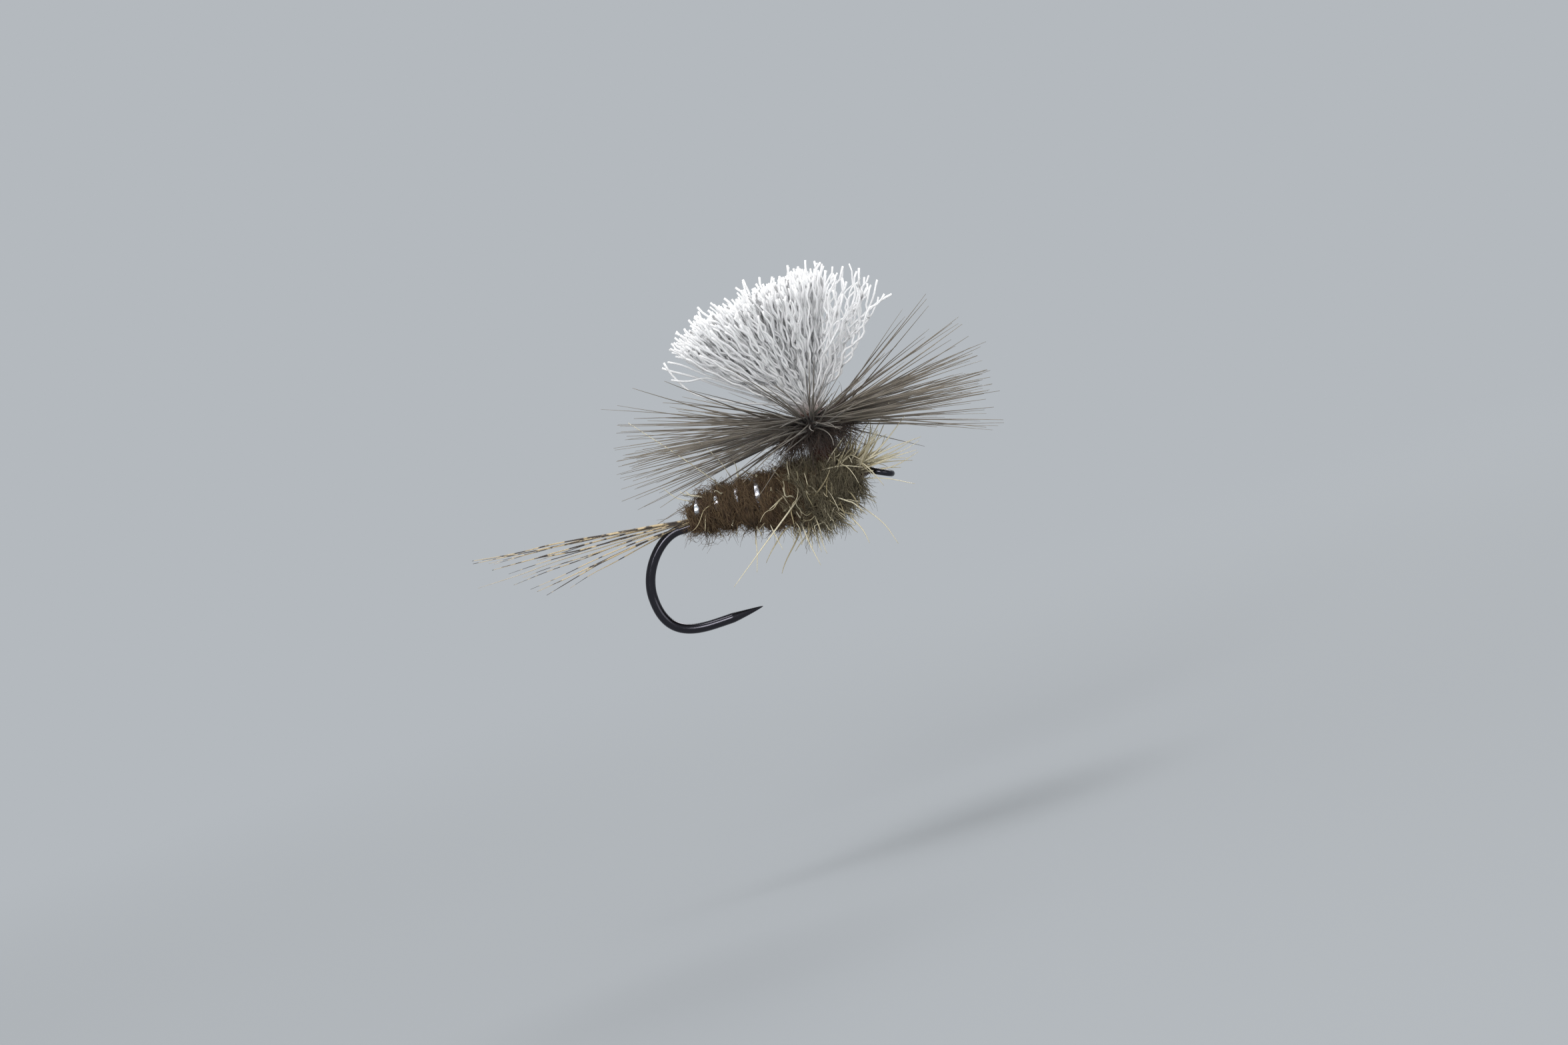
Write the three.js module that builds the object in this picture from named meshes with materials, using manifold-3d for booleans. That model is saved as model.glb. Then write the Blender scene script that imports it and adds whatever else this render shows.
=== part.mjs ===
// A parachute dry fly, tied on a barbless down-eye hook.
// Units are millimetres. +X runs along the shank towards the eye, +Z up the wing post, Y across the fly.
// The origin is the wire's centre at the bottom of the bend, where a tying vise or a fly clip holds it.

import * as THREE from "three";
import { mergeVertices } from "three/addons/utils/BufferGeometryUtils.js";
import Module from "manifold-3d";

const wasm = await Module();
wasm.setup();

// Driving dimensions

const clearance = 0.03; // gap between pieces that bind on each other

// hook
const wireDiameter = 0.5;
const gape = 4.88; // spear to shank, centre to centre
const shankLength = 9.85; // straight stretch from the bend to the eye
const bendStart = 1.0; // where the shank starts to turn down, ahead of the grip
const bendSetback = 1.3; // rearmost point of the bend, behind the grip
const heelReach = 1.2; // lowest place of the bend, ahead of the grip
const heelDrop = 0.14; // the lowest place lies this far below the grip
const pointReach = 3.8; // tip of the point, ahead of the grip
const pointDrop = 0.03; // the tip lies this far below the grip
const pointLength = 1.6; // ground taper of the point
const pointWidth = 0.06; // width left at the very tip
const eyeHole = 0.78;
const eyeWire = 0.32; // the wire is drawn thinner to form the eye
const eyeDroop = degrees(27);
const eyeTaper = 0.8; // length over which the wire thins

// thread
const underbodyThickness = 0.08;
const lashingThickness = 0.1; // several layers of thread over the tail butts
const lashingLength = 0.55;
const lashingWraps = 5;
const headDiameter = 0.8;
const headLength = 0.26;
const headWraps = 3;
const postWrapThickness = 0.1;
const postWraps = 12;
const tieOffThickness = 0.12;
const tieOffLength = 0.36;
const tieOffWraps = 4;
const wrapDepth = 0.02; // groove between two turns of thread

// tail
const tailPerLayer = 6; // fibres in each of the two layers on the shank
const tailFibreWidth = 0.1;
const tailTipWidth = 0.04;
const tailLength = 10.1; // from the lashing to the tips
const tailStraight = 0.8; // the fibres lie along the shank this far behind the lashing
const tailShortening = 0.28; // the lowest fibres are this share shorter
const tailHighest = degrees(9);
const tailLowest = degrees(-12);
const tailFan = 0.35; // sideways lean of a fibre for each radian it lies round the shank

// abdomen
const abdomenRearDiameter = 1.6;
const abdomenFrontDiameter = 2.6;
const abdomenRise = 0.25; // the fur sits higher than the shank, over the tail butts
const ribPitch = 1.04;
const ribWidth = 0.25;
const ribThickness = 0.04;
const ribInset = 0.32; // bare fur beyond the rib at each end

// thorax
const thoraxBehind = 1.1; // fur behind the post's axis
const thoraxDiameter = 3.2;
const headBare = 0.05; // thread left bare between the thorax and the head
const thoraxDrop = 0.2; // the fur is fuller under the shank
const guardHairWidth = 0.08;
const guardHairTipWidth = 0.03;
const guardHairs = [
  // along: share of the thorax, around: from straight up, lean: towards the eye
  { along: 0.9, around: degrees(58), lean: degrees(68), length: 3.3 },
  { along: 0.88, around: degrees(-55), lean: degrees(62), length: 3.4 },
  { along: 0.9, around: degrees(-105), lean: degrees(70), length: 3.1 },
  { along: 0.3, around: degrees(195), lean: degrees(-32), length: 2.2 },
  { along: 0.5, around: degrees(160), lean: degrees(8), length: 1.9 },
  { along: 0.75, around: degrees(186), lean: degrees(22), length: 2.6 },
];

// wing post and wing
const postSetback = 1.79; // from the eye back to the post's axis
const postHeight = 3.75; // from the shank's centre to where the yarn opens
const postDiameter = 1.24; // the bound yarn
const wingHeight = 7.5; // length of the open yarn
const wingSpread = degrees(50); // outermost lock, either side of upright
const wingLocks = 11;
const lockRootWidth = 0.5;
const lockTipWidth = 1.7;
const lockLean = degrees(13); // of three locks in turn, one stands upright and two lean this far aside

// hackle
const quillWidth = 0.22;
const quillTurns = 3.5;
const quillPitch = 0.25;
const barbCount = 28;
const barbWidth = 0.1;
const barbTipWidth = 0.04;
const barbLength = 9.4; // from the post's axis
const barbSpread = degrees(8); // between the levels of barbs
const hackleTilt = degrees(9); // the hackle leans down towards the eye
const barbBow = 0.35;

// Sizes that follow from them

const wireRadius = wireDiameter / 2;
const eyeStart = bendStart + shankLength;
const eyeRadius = (eyeHole + eyeWire) / 2;
const underbodyRadius = wireRadius + clearance + underbodyThickness;
const layerPitch = tailFibreWidth + clearance;
const lashingRise = layerPitch + clearance / 2; // the wraps sit high, over the butts
const lashingBore = wireRadius + 2 * clearance + lashingRise;
const lashingStart = bendStart;
const postX = eyeStart - postSetback;
const headStart = eyeStart - headLength;
const underbodyEnd = headStart - clearance;
const thoraxStart = postX - thoraxBehind;
const thoraxLength = underbodyEnd - headBare - thoraxStart;
const abdomenStart = lashingStart + lashingLength + clearance;
const abdomenLength = thoraxStart - clearance - abdomenStart;
const postBottom = gape + underbodyRadius + clearance;
const wingBase = gape + postHeight;
const postRadius = postDiameter / 2;
const postWrapRadius = postRadius + clearance + postWrapThickness;
const quillRing = postWrapRadius + clearance + quillWidth / 2;
const quillTop = wingBase - quillWidth;
const quillBottom = quillTop - quillTurns * quillPitch;
const tieOffTop = quillBottom - quillWidth / 2 - clearance;
const barbRoot = quillRing + quillWidth / 2 + clearance;

const materials = {
  hook: { color: 0x2b2b2f, metalness: 1.0, roughness: 0.28 },
  thread: { color: 0x3a1d14, metalness: 0.0, roughness: 0.55 },
  tail: { color: 0xa58a63, metalness: 0.0, roughness: 0.5 },
  abdomen: { color: 0x5a3f2a, metalness: 0.0, roughness: 0.95 },
  rib: { color: 0xdfe3e6, metalness: 1.0, roughness: 0.18 },
  thorax: { color: 0x6b6142, metalness: 0.0, roughness: 0.95 },
  guardHair: { color: 0xb7a878, metalness: 0.0, roughness: 0.6 },
  wing: { color: 0xeceef0, metalness: 0.0, roughness: 0.7 },
  hackle: { color: 0x4a3b33, metalness: 0.0, roughness: 0.4 },
};

function degrees(angle) {
  return (angle * Math.PI) / 180;
}

// A point in the fly's middle plane.
function middle(x, z) {
  return new THREE.Vector3(x, 0, z);
}

// A steady scatter between -1 and 1, the same for each copy every time.
function scatter(copy, stream) {
  return Math.sin(copy * 2.399 + stream * 1.7);
}

function polygon(sides, radius) {
  const corners = [];
  for (let i = 0; i < sides; i += 1) {
    const angle = ((i + 0.5) * 2 * Math.PI) / sides;
    corners.push(new THREE.Vector2(radius * Math.cos(angle), radius * Math.sin(angle)));
  }
  return corners;
}

// A bar of many sides along a path. widthAt gives its width, as a share, from the two distances to its ends.
function sweep(path, steps, sides, width, widthAt) {
  const section = new THREE.Shape(polygon(sides, width / 2));
  const geometry = new THREE.ExtrudeGeometry(section, { steps, bevelEnabled: false, extrudePath: path });
  const stations = path.getSpacedPoints(steps);
  const stepLength = path.getLength() / steps;
  const places = geometry.attributes.position;
  const corner = new THREE.Vector3();
  for (let i = 0; i < places.count; i += 1) {
    corner.fromBufferAttribute(places, i);
    let nearest = 0;
    for (let k = 1; k <= steps; k += 1) {
      if (corner.distanceToSquared(stations[k]) < corner.distanceToSquared(stations[nearest])) {
        nearest = k;
      }
    }
    const share = widthAt(nearest * stepLength, (steps - nearest) * stepLength);
    corner.sub(stations[nearest]).multiplyScalar(share).add(stations[nearest]);
    places.setXYZ(i, corner.x, corner.y, corner.z);
  }
  return geometry;
}

// A fibre that narrows evenly from its root to its tip.
function fibre(points, rootWidth, tipWidth, steps = 6) {
  const path = new THREE.CatmullRomCurve3(points);
  const narrowing = (fromRoot, toTip) => {
    return THREE.MathUtils.lerp(1, tipWidth / rootWidth, fromRoot / (fromRoot + toTip));
  };
  return sweep(path, steps, 6, rootWidth, narrowing);
}

// A turned piece along +X or +Z from [place along the axis, radius] pairs.
function turned(outline, sides, axis) {
  const profile = outline.map(([along, radius]) => new THREE.Vector2(radius, along));
  const geometry = new THREE.LatheGeometry(profile, sides);
  return axis === "x" ? geometry.rotateZ(-Math.PI / 2) : geometry.rotateX(Math.PI / 2);
}

// A bore of this many sides that clears a round core by the clearance, flats included.
function boreRadius(core, sides) {
  return (core + clearance) / Math.cos(Math.PI / sides);
}

// A sleeve of thread: its outside is grooved between the wraps.
function threadSleeve(start, end, bore, outer, wraps, sides, axis) {
  const pitch = (end - start) / wraps;
  const outline = [[start, bore]];
  for (let i = 0; i < wraps; i += 1) {
    outline.push([start + i * pitch, outer - wrapDepth]);
    outline.push([start + (i + 0.5) * pitch, outer]);
  }
  outline.push([end, outer - wrapDepth]);
  outline.push([end, bore]);
  outline.push([start, bore]);
  return turned(outline, sides, axis);
}

// A closed mesh as a solid for joining and cutting.
function solidOf(geometry) {
  const bare = geometry.clone();
  bare.deleteAttribute("normal");
  bare.deleteAttribute("uv");
  const merged = mergeVertices(bare);
  const triVerts = [];
  const index = merged.index.array;
  for (let i = 0; i < index.length; i += 3) {
    const [a, b, c] = index.slice(i, i + 3);
    if (a !== b && b !== c && c !== a) {
      triVerts.push(a, b, c);
    }
  }
  const vertProperties = merged.attributes.position.array;
  const mesh = new wasm.Mesh({ numProp: 3, vertProperties, triVerts: new Uint32Array(triVerts) });
  return new wasm.Manifold(mesh);
}

function geometryOf(solid) {
  const mesh = solid.getMesh();
  const geometry = new THREE.BufferGeometry();
  geometry.setAttribute("position", new THREE.BufferAttribute(mesh.vertProperties, 3));
  geometry.setIndex(new THREE.BufferAttribute(mesh.triVerts, 1));
  return geometry;
}

function piece(name, geometry, finish, place = middle(0, 0)) {
  geometry.computeVertexNormals();
  const mesh = new THREE.Mesh(geometry, new THREE.MeshStandardMaterial(materials[finish]));
  mesh.name = name;
  mesh.position.copy(place);
  return mesh;
}

function numbered(stem, copy) {
  return `${stem}_${String(copy + 1).padStart(2, "0")}`;
}

// Hook: eye, shank, round bend with a flattened side, spear and ground point

function hookPath() {
  const droop = middle(Math.cos(eyeDroop), -Math.sin(eyeDroop));
  const neck = middle(eyeStart, gape);
  const eyeRoot = neck.clone().addScaledVector(droop, eyeWire / 2);
  const shankEnd = middle(eyeStart - eyeWire, gape);
  const rear = middle(-bendSetback, 0.43 * gape);
  const heel = middle(heelReach, -heelDrop);
  const path = new THREE.CurvePath();
  path.add(new THREE.QuadraticBezierCurve3(eyeRoot, neck, shankEnd));
  path.add(new THREE.LineCurve3(shankEnd, middle(bendStart, gape)));
  path.add(new THREE.CubicBezierCurve3(
    middle(bendStart, gape),
    middle(bendStart - 0.45 * (bendStart + bendSetback), gape),
    middle(-bendSetback, (gape + rear.z) / 2),
    rear,
  ));
  path.add(new THREE.CubicBezierCurve3(
    rear,
    middle(-bendSetback, rear.z - 0.8 * (rear.z + heelDrop)),
    middle(heelReach - 0.6 * (heelReach + bendSetback), -heelDrop),
    heel,
  ));
  path.add(new THREE.QuadraticBezierCurve3(
    heel,
    middle((heelReach + pointReach) / 2, -heelDrop),
    middle(pointReach, -pointDrop),
  ));
  return path;
}

function hook() {
  const wireWidth = (fromEye, toPoint) => {
    const atEye = THREE.MathUtils.lerp(eyeWire / wireDiameter, 1, Math.min(1, fromEye / eyeTaper));
    const atPoint = THREE.MathUtils.lerp(pointWidth / wireDiameter, 1, Math.min(1, toPoint / pointLength));
    return Math.min(atEye, atPoint);
  };
  const wire = sweep(hookPath(), 64, 8, wireDiameter, wireWidth);
  const ringSection = polygon(8, eyeWire / 2).map((corner) => [corner.y, eyeRadius + corner.x]);
  ringSection.push(ringSection[0]);
  const ring = turned(ringSection, 20, "z");
  const reach = eyeRadius + eyeWire / 2;
  ring.rotateY(eyeDroop);
  ring.translate(eyeStart + reach * Math.cos(eyeDroop), 0, gape - reach * Math.sin(eyeDroop));
  return piece("hook", geometryOf(solidOf(wire).add(solidOf(ring))), "hook");
}

// Thread on the shank: the underbody, the lashing over the tail butts and the head behind the eye

function shankThread() {
  const sides = 12;
  const bore = boreRadius(wireRadius, sides);
  const shankLine = middle(0, gape);
  const underbody = threadSleeve(abdomenStart, underbodyEnd, bore, underbodyRadius, 1, sides, "x");
  const head = threadSleeve(headStart, eyeStart - clearance, bore, headDiameter / 2, headWraps, sides, "x");
  const lashingOuter = lashingBore + lashingThickness;
  const lashing = threadSleeve(
    lashingStart,
    lashingStart + lashingLength,
    lashingBore / Math.cos(Math.PI / 16),
    lashingOuter,
    lashingWraps,
    16,
    "x",
  );
  return [
    piece("thread_underbody", underbody, "thread", shankLine),
    piece("whip_finish_head", head, "thread", shankLine),
    piece("tail_lashing", lashing, "thread", middle(0, gape + lashingRise)),
  ];
}

// Tail: two layers of barred fibres laid round the top of the shank, fanning out behind the lashing

function tailFibre(layer, place) {
  const ring = wireRadius + clearance + tailFibreWidth / 2 + layer * layerPitch;
  const offset = place - (tailPerLayer - 1) / 2;
  const around = (offset * layerPitch) / ring;
  const across = ring * Math.sin(around);
  const height = gape + ring * Math.cos(around);
  const copy = layer * tailPerLayer + place;
  const share = (layer + 1 - (2 * Math.abs(offset)) / tailPerLayer) / 2; // 0 for the lowest, 1 for the highest
  const climb = THREE.MathUtils.lerp(tailLowest, tailHighest, share);
  const length = tailLength * (1 - tailShortening * (1 - share) + 0.04 * scatter(copy, 1));
  const lean = around * tailFan;
  const exit = lashingStart - tailStraight;
  const reachTo = (distance, bow) => new THREE.Vector3(
    exit - distance * Math.cos(climb) * Math.cos(lean),
    across + distance * Math.sin(lean),
    height + distance * Math.sin(climb) + bow,
  );
  const butt = new THREE.Vector3(lashingStart + lashingLength - clearance, across, height);
  const free = length - tailStraight;
  const bow = 0.01 * free;
  return fibre(
    [butt, reachTo(0, 0), reachTo(free / 3, bow), reachTo((2 * free) / 3, bow), reachTo(free, 0)],
    tailFibreWidth,
    tailTipWidth,
    8,
  );
}

function tail() {
  const fibres = [];
  for (let layer = 0; layer < 2; layer += 1) {
    for (let place = 0; place < tailPerLayer; place += 1) {
      const name = numbered("tail_fibre", fibres.length);
      fibres.push(piece(name, tailFibre(layer, place), "tail"));
    }
  }
  return fibres;
}

// Abdomen: a tapered rope of fur wound on the underbody, with flat tinsel wound over it

function abdomenRadius(x) {
  const share = THREE.MathUtils.clamp((x - abdomenStart) / abdomenLength, 0, 1);
  const fullness = Math.sin((share * Math.PI) / 2);
  return THREE.MathUtils.lerp(abdomenRearDiameter, abdomenFrontDiameter, fullness) / 2;
}

function abdomen() {
  const rings = 12;
  const end = abdomenStart + abdomenLength;
  const outline = [[abdomenStart, 0]];
  for (let i = 0; i <= rings; i += 1) {
    const x = abdomenStart + (i / rings) * abdomenLength;
    const shoulder = i === 0 || i === rings ? 0.88 : 1; // both ends are rounded off
    outline.push([x, shoulder * abdomenRadius(x)]);
  }
  outline.push([end, 0]);
  const fur = turned(outline, 20, "x");
  fur.translate(0, 0, abdomenRise);
  const core = new THREE.CylinderGeometry(
    boreRadius(underbodyRadius, 12),
    boreRadius(underbodyRadius, 12),
    3 * abdomenLength,
    12,
  );
  core.rotateZ(Math.PI / 2);
  core.translate(abdomenStart, 0, 0);
  const solid = solidOf(fur).subtract(solidOf(core));
  return piece("abdomen_dubbing", geometryOf(solid), "abdomen", middle(0, gape));
}

function ribTinsel() {
  const start = abdomenStart + ribInset;
  const turns = (abdomenLength - 2 * ribInset - ribWidth) / ribPitch;
  const steps = Math.round(turns * 20);
  const strip = new THREE.BoxGeometry(1, 1, 1, steps, 1, 1);
  const places = strip.attributes.position;
  for (let i = 0; i < places.count; i += 1) {
    const along = places.getX(i) + 0.5;
    const across = places.getY(i) + 0.5;
    const above = places.getZ(i) + 0.5;
    const x = start + along * turns * ribPitch + across * ribWidth;
    const angle = along * turns * 2 * Math.PI;
    // the strip's flat underside clears the fur between two of its steps as well
    const radius = boreRadius(abdomenRadius(x), 20) + above * ribThickness;
    places.setXYZ(i, x, radius * Math.cos(angle), radius * Math.sin(angle));
  }
  return piece("rib_tinsel", strip, "rib", middle(0, gape + abdomenRise));
}

// Thorax: spikier fur round the foot of the post, with long guard hairs standing out of it

function thoraxRadius(share) {
  const fullness = Math.sin(Math.PI * (0.22 + 0.6 * share));
  return (thoraxDiameter / 2) * fullness;
}

function thorax() {
  const rings = 8;
  const outline = [[0, 0]];
  for (let i = 0; i <= rings; i += 1) {
    outline.push([(i / rings) * thoraxLength, thoraxRadius(i / rings)]);
  }
  outline.push([thoraxLength, 0]);
  const fur = turned(outline, 18, "x");
  fur.translate(thoraxStart, 0, gape - thoraxDrop);
  const coreRadius = boreRadius(underbodyRadius, 12);
  const core = new THREE.CylinderGeometry(coreRadius, coreRadius, 4 * thoraxLength, 12);
  core.rotateZ(Math.PI / 2);
  core.translate(thoraxStart, 0, gape);
  const postBore = boreRadius(postWrapRadius, 16);
  const post = new THREE.CylinderGeometry(postBore, postBore, 2 * thoraxDiameter, 16);
  post.rotateX(Math.PI / 2);
  post.translate(postX, 0, gape + thoraxDiameter);
  const solid = solidOf(fur).subtract(solidOf(core)).subtract(solidOf(post));
  return piece("thorax_dubbing", geometryOf(solid), "thorax");
}

function guardHair({ along, around, lean, length }) {
  const outward = new THREE.Vector3(0, Math.sin(around), Math.cos(around));
  const root = middle(thoraxStart + along * thoraxLength, gape - thoraxDrop);
  root.addScaledVector(outward, thoraxRadius(along) + guardHairWidth + clearance);
  const heading = outward.clone().multiplyScalar(Math.cos(lean));
  heading.x = Math.sin(lean);
  const halfway = root.clone().addScaledVector(heading, length / 2);
  halfway.addScaledVector(outward, 0.04 * length);
  return fibre([root, halfway, root.clone().addScaledVector(heading, length)], guardHairWidth, guardHairTipWidth);
}

// Wing: a hank of yarn bound into a post, its free end open as a fan

function wingLock(place) {
  const share = (2 * place) / (wingLocks - 1) - 1; // -1 at the rear lock, 1 at the front one
  const fan = share * wingSpread;
  const side = ((place % 3) - 1) * lockLean;
  const reach = wingHeight * (1 - 0.05 * share + 0.03 * scatter(place, 2));
  const start = wingBase - lockRootWidth / 3; // inside the bound yarn, clear of the wraps below
  const reachTo = (distance, opening) => new THREE.Vector3(
    postX + distance * Math.sin(fan * opening) * Math.cos(side),
    distance * Math.sin(side),
    start + distance * Math.cos(fan * opening) * Math.cos(side),
  );
  const whole = reach + lockRootWidth / 3;
  const path = new THREE.CatmullRomCurve3([
    reachTo(0, 1),
    reachTo(whole / 3, 1.05),
    reachTo((2 * whole) / 3, 1.03),
    reachTo(whole, 1),
  ]);
  const opening = (fromRoot, toTip) => {
    return THREE.MathUtils.lerp(lockRootWidth / lockTipWidth, 1, fromRoot / (fromRoot + toTip));
  };
  return sweep(path, 5, 6, lockTipWidth, opening);
}

function wing() {
  const stem = turned(
    [[postBottom, 0], [postBottom, postRadius], [wingBase, postRadius], [wingBase, 0]],
    16,
    "z",
  );
  stem.translate(postX, 0, 0);
  let solid = solidOf(stem);
  for (let place = 0; place < wingLocks; place += 1) {
    solid = solid.add(solidOf(wingLock(place)));
  }
  return piece("wing_yarn", geometryOf(solid), "wing");
}

function postThread() {
  const sides = 16;
  const wraps = threadSleeve(
    postBottom,
    wingBase - quillWidth / 2,
    boreRadius(postRadius, sides),
    postWrapRadius,
    postWraps,
    sides,
    "z",
  );
  const tieOff = threadSleeve(
    tieOffTop - tieOffLength,
    tieOffTop,
    boreRadius(postWrapRadius, sides),
    postWrapRadius + clearance + tieOffThickness,
    tieOffWraps,
    sides,
    "z",
  );
  return [
    piece("post_thread_wraps", wraps, "thread", middle(postX, 0)),
    piece("hackle_tie_off", tieOff, "thread", middle(postX, 0)),
  ];
}

// Hackle: a feather's quill wound round the post, with its barbs standing out all round

function quill() {
  const turns = [];
  const pointsPerTurn = 16;
  for (let i = 0; i <= quillTurns * pointsPerTurn; i += 1) {
    const angle = (i / pointsPerTurn) * 2 * Math.PI;
    turns.push(new THREE.Vector3(
      quillRing * Math.cos(angle),
      quillRing * Math.sin(angle),
      (i / pointsPerTurn) * quillPitch,
    ));
  }
  const helix = new THREE.CatmullRomCurve3(turns);
  const quillRod = sweep(helix, Math.round(quillTurns * pointsPerTurn), 6, quillWidth, () => 1);
  return piece("hackle_quill", quillRod, "hackle", middle(postX, quillBottom));
}

function barb(copy) {
  const heading = (copy / barbCount) * 2 * Math.PI;
  const level = copy % 3;
  const climb = -hackleTilt * Math.cos(heading) + (level - 1) * barbSpread + degrees(2) * scatter(copy, 3);
  const length = barbLength * (1 - 0.05 * Math.cos(heading) + 0.02 * scatter(copy, 4));
  const rootHeight = quillBottom + (level + 0.5) * quillPitch;
  const reachTo = (distance, bow) => {
    const outward = barbRoot + distance * Math.cos(climb);
    return new THREE.Vector3(
      outward * Math.cos(heading),
      outward * Math.sin(heading),
      rootHeight + distance * Math.sin(climb) + bow,
    );
  };
  const free = length - barbRoot;
  const points = [reachTo(0, 0), reachTo(free / 2, barbBow), reachTo(free, 0)];
  return piece(numbered("hackle_barb", copy), fibre(points, barbWidth, barbTipWidth), "hackle", middle(postX, 0));
}

// The whole fly

const fly = new THREE.Group();

fly.add(hook());
fly.add(...shankThread());
fly.add(...tail());

const body = new THREE.Group();
body.add(abdomen(), ribTinsel(), thorax());
guardHairs.forEach((hair, copy) => {
  body.add(piece(numbered("thorax_guard_hair", copy), guardHair(hair), "guardHair"));
});
fly.add(body);

const parachute = new THREE.Group();
parachute.add(wing(), ...postThread(), quill());
for (let copy = 0; copy < barbCount; copy += 1) {
  parachute.add(barb(copy));
}
fly.add(parachute);

export default fly;
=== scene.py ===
import math

import bpy
import numpy as np
from mathutils import Matrix, Vector


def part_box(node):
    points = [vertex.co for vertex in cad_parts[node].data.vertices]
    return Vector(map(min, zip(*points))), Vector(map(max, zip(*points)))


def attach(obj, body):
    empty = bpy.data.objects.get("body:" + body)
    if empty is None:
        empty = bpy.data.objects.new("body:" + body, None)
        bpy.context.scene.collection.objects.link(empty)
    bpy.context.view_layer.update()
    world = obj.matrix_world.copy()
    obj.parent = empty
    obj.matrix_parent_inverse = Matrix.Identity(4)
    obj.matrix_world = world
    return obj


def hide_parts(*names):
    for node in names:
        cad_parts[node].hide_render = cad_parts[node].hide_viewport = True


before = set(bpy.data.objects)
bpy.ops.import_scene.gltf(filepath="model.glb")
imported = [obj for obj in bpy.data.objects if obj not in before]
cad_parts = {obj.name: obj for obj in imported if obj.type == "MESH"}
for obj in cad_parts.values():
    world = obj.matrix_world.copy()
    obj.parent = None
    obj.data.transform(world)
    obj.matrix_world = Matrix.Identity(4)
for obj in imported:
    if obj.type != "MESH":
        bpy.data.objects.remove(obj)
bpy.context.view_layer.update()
print("frame loaded:", len(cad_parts), "CAD nodes")

# Lengths are in millimetres until a mesh is made. +X runs to the eye of the hook and +Z up the wing post.
mm = 0.001
sceneRoot = bpy.context.scene


def boxMm(node):
    low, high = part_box(node)
    return np.array(low) / mm, np.array(high) / mm


def nodesCalled(stem):
    return sorted(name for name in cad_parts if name.startswith(stem))


# The places that every piece is worked out from
shankLow, shankHigh = boxMm("thread_underbody")
postLow, postHigh = boxMm("post_thread_wraps")
quillLow, quillHigh = boxMm("hackle_quill")
shankZ = (shankLow[2] + shankHigh[2]) / 2
postX = (postLow[0] + postHigh[0]) / 2
postRadius = (postHigh[0] - postLow[0]) / 2
wingBase = quillHigh[2] + 0.1


# Colours are written as they look on screen, and turned to linear light here
def colour(hexValue):
    channels = [int(hexValue[i:i + 2], 16) / 255 for i in (1, 3, 5)]
    linear = [c / 12.92 if c <= 0.04045 else ((c + 0.055) / 1.055) ** 2.4 for c in channels]
    return (*linear, 1.0)


# Adds a node: settings are its own properties, inputs are values or the outputs that feed them
def addNode(tree, kind, settings=None, inputs=None):
    node = tree.nodes.new("ShaderNode" + kind)
    for name, value in (settings or {}).items():
        setattr(node, name, value)
    for name, value in (inputs or {}).items():
        if isinstance(value, bpy.types.NodeSocket):
            tree.links.new(value, node.inputs[name])
        else:
            node.inputs[name].default_value = value
    return node


# Starts a material: its Principled shader with these sockets set, its tree, and the attributes that it reads
def startMaterial(name, sockets, *reads):
    material = bpy.data.materials.new(name)
    material.use_nodes = True
    tree = material.node_tree
    shader = tree.nodes["Principled BSDF"]
    for socket, value in sockets.items():
        shader.inputs[socket].default_value = value
    found = [addNode(tree, "Attribute", {"attribute_name": label}).outputs["Fac"] for label in reads]
    return material, tree, shader, *found


# Settings that several nodes share. A Mix node in colour mode has its factor at input 0, its colours at 6
# and 7 and its result at output 2.
colourMode = {"data_type": "RGBA"}
softStep = {"interpolation_type": "SMOOTHSTEP"}


# Smoothstep between two edges, for arrays
def easeBetween(low, high, values):
    share = np.clip((values - low) / (high - low), 0, 1)
    return share * share * (3 - 2 * share)


# Points at even spacing along a smooth curve through the given ones
def smoothPath(points, count, perSpan=24):
    points = np.asarray(points, float)
    ends = np.vstack([2 * points[0] - points[1], points, 2 * points[-1] - points[-2]])
    dense = []
    for i in range(len(points) - 1):
        before, start, end, after = ends[i:i + 4]
        t = np.linspace(0, 1, perSpan, endpoint=False)[:, None]
        curve = (after - 3 * end + 3 * start - before) * t + (2 * before - 5 * start + 4 * end - after)
        dense.append(0.5 * ((curve * t + end - before) * t + 2 * start))
    return evenPoints(np.vstack(dense + [points[-1:]]), count)


def evenPoints(line, count):
    travelled = np.concatenate([[0], np.cumsum(np.linalg.norm(np.diff(line, axis=0), axis=1))])
    stations = np.linspace(0, travelled[-1], count)
    return np.stack([np.interp(stations, travelled, line[:, k]) for k in range(3)], axis=1)


# A tube's cell of the bake map: the body stands on the foot, and the two ends lie side by side above it
bakeCell = dict(slender=12, edge=0.05, wide=0.9, foot=0.03, high=0.87, ends=((0.27, -1), (0.73, 1)),
                endWide=0.2, endHigh=0.03, endMiddle=0.95)


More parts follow.
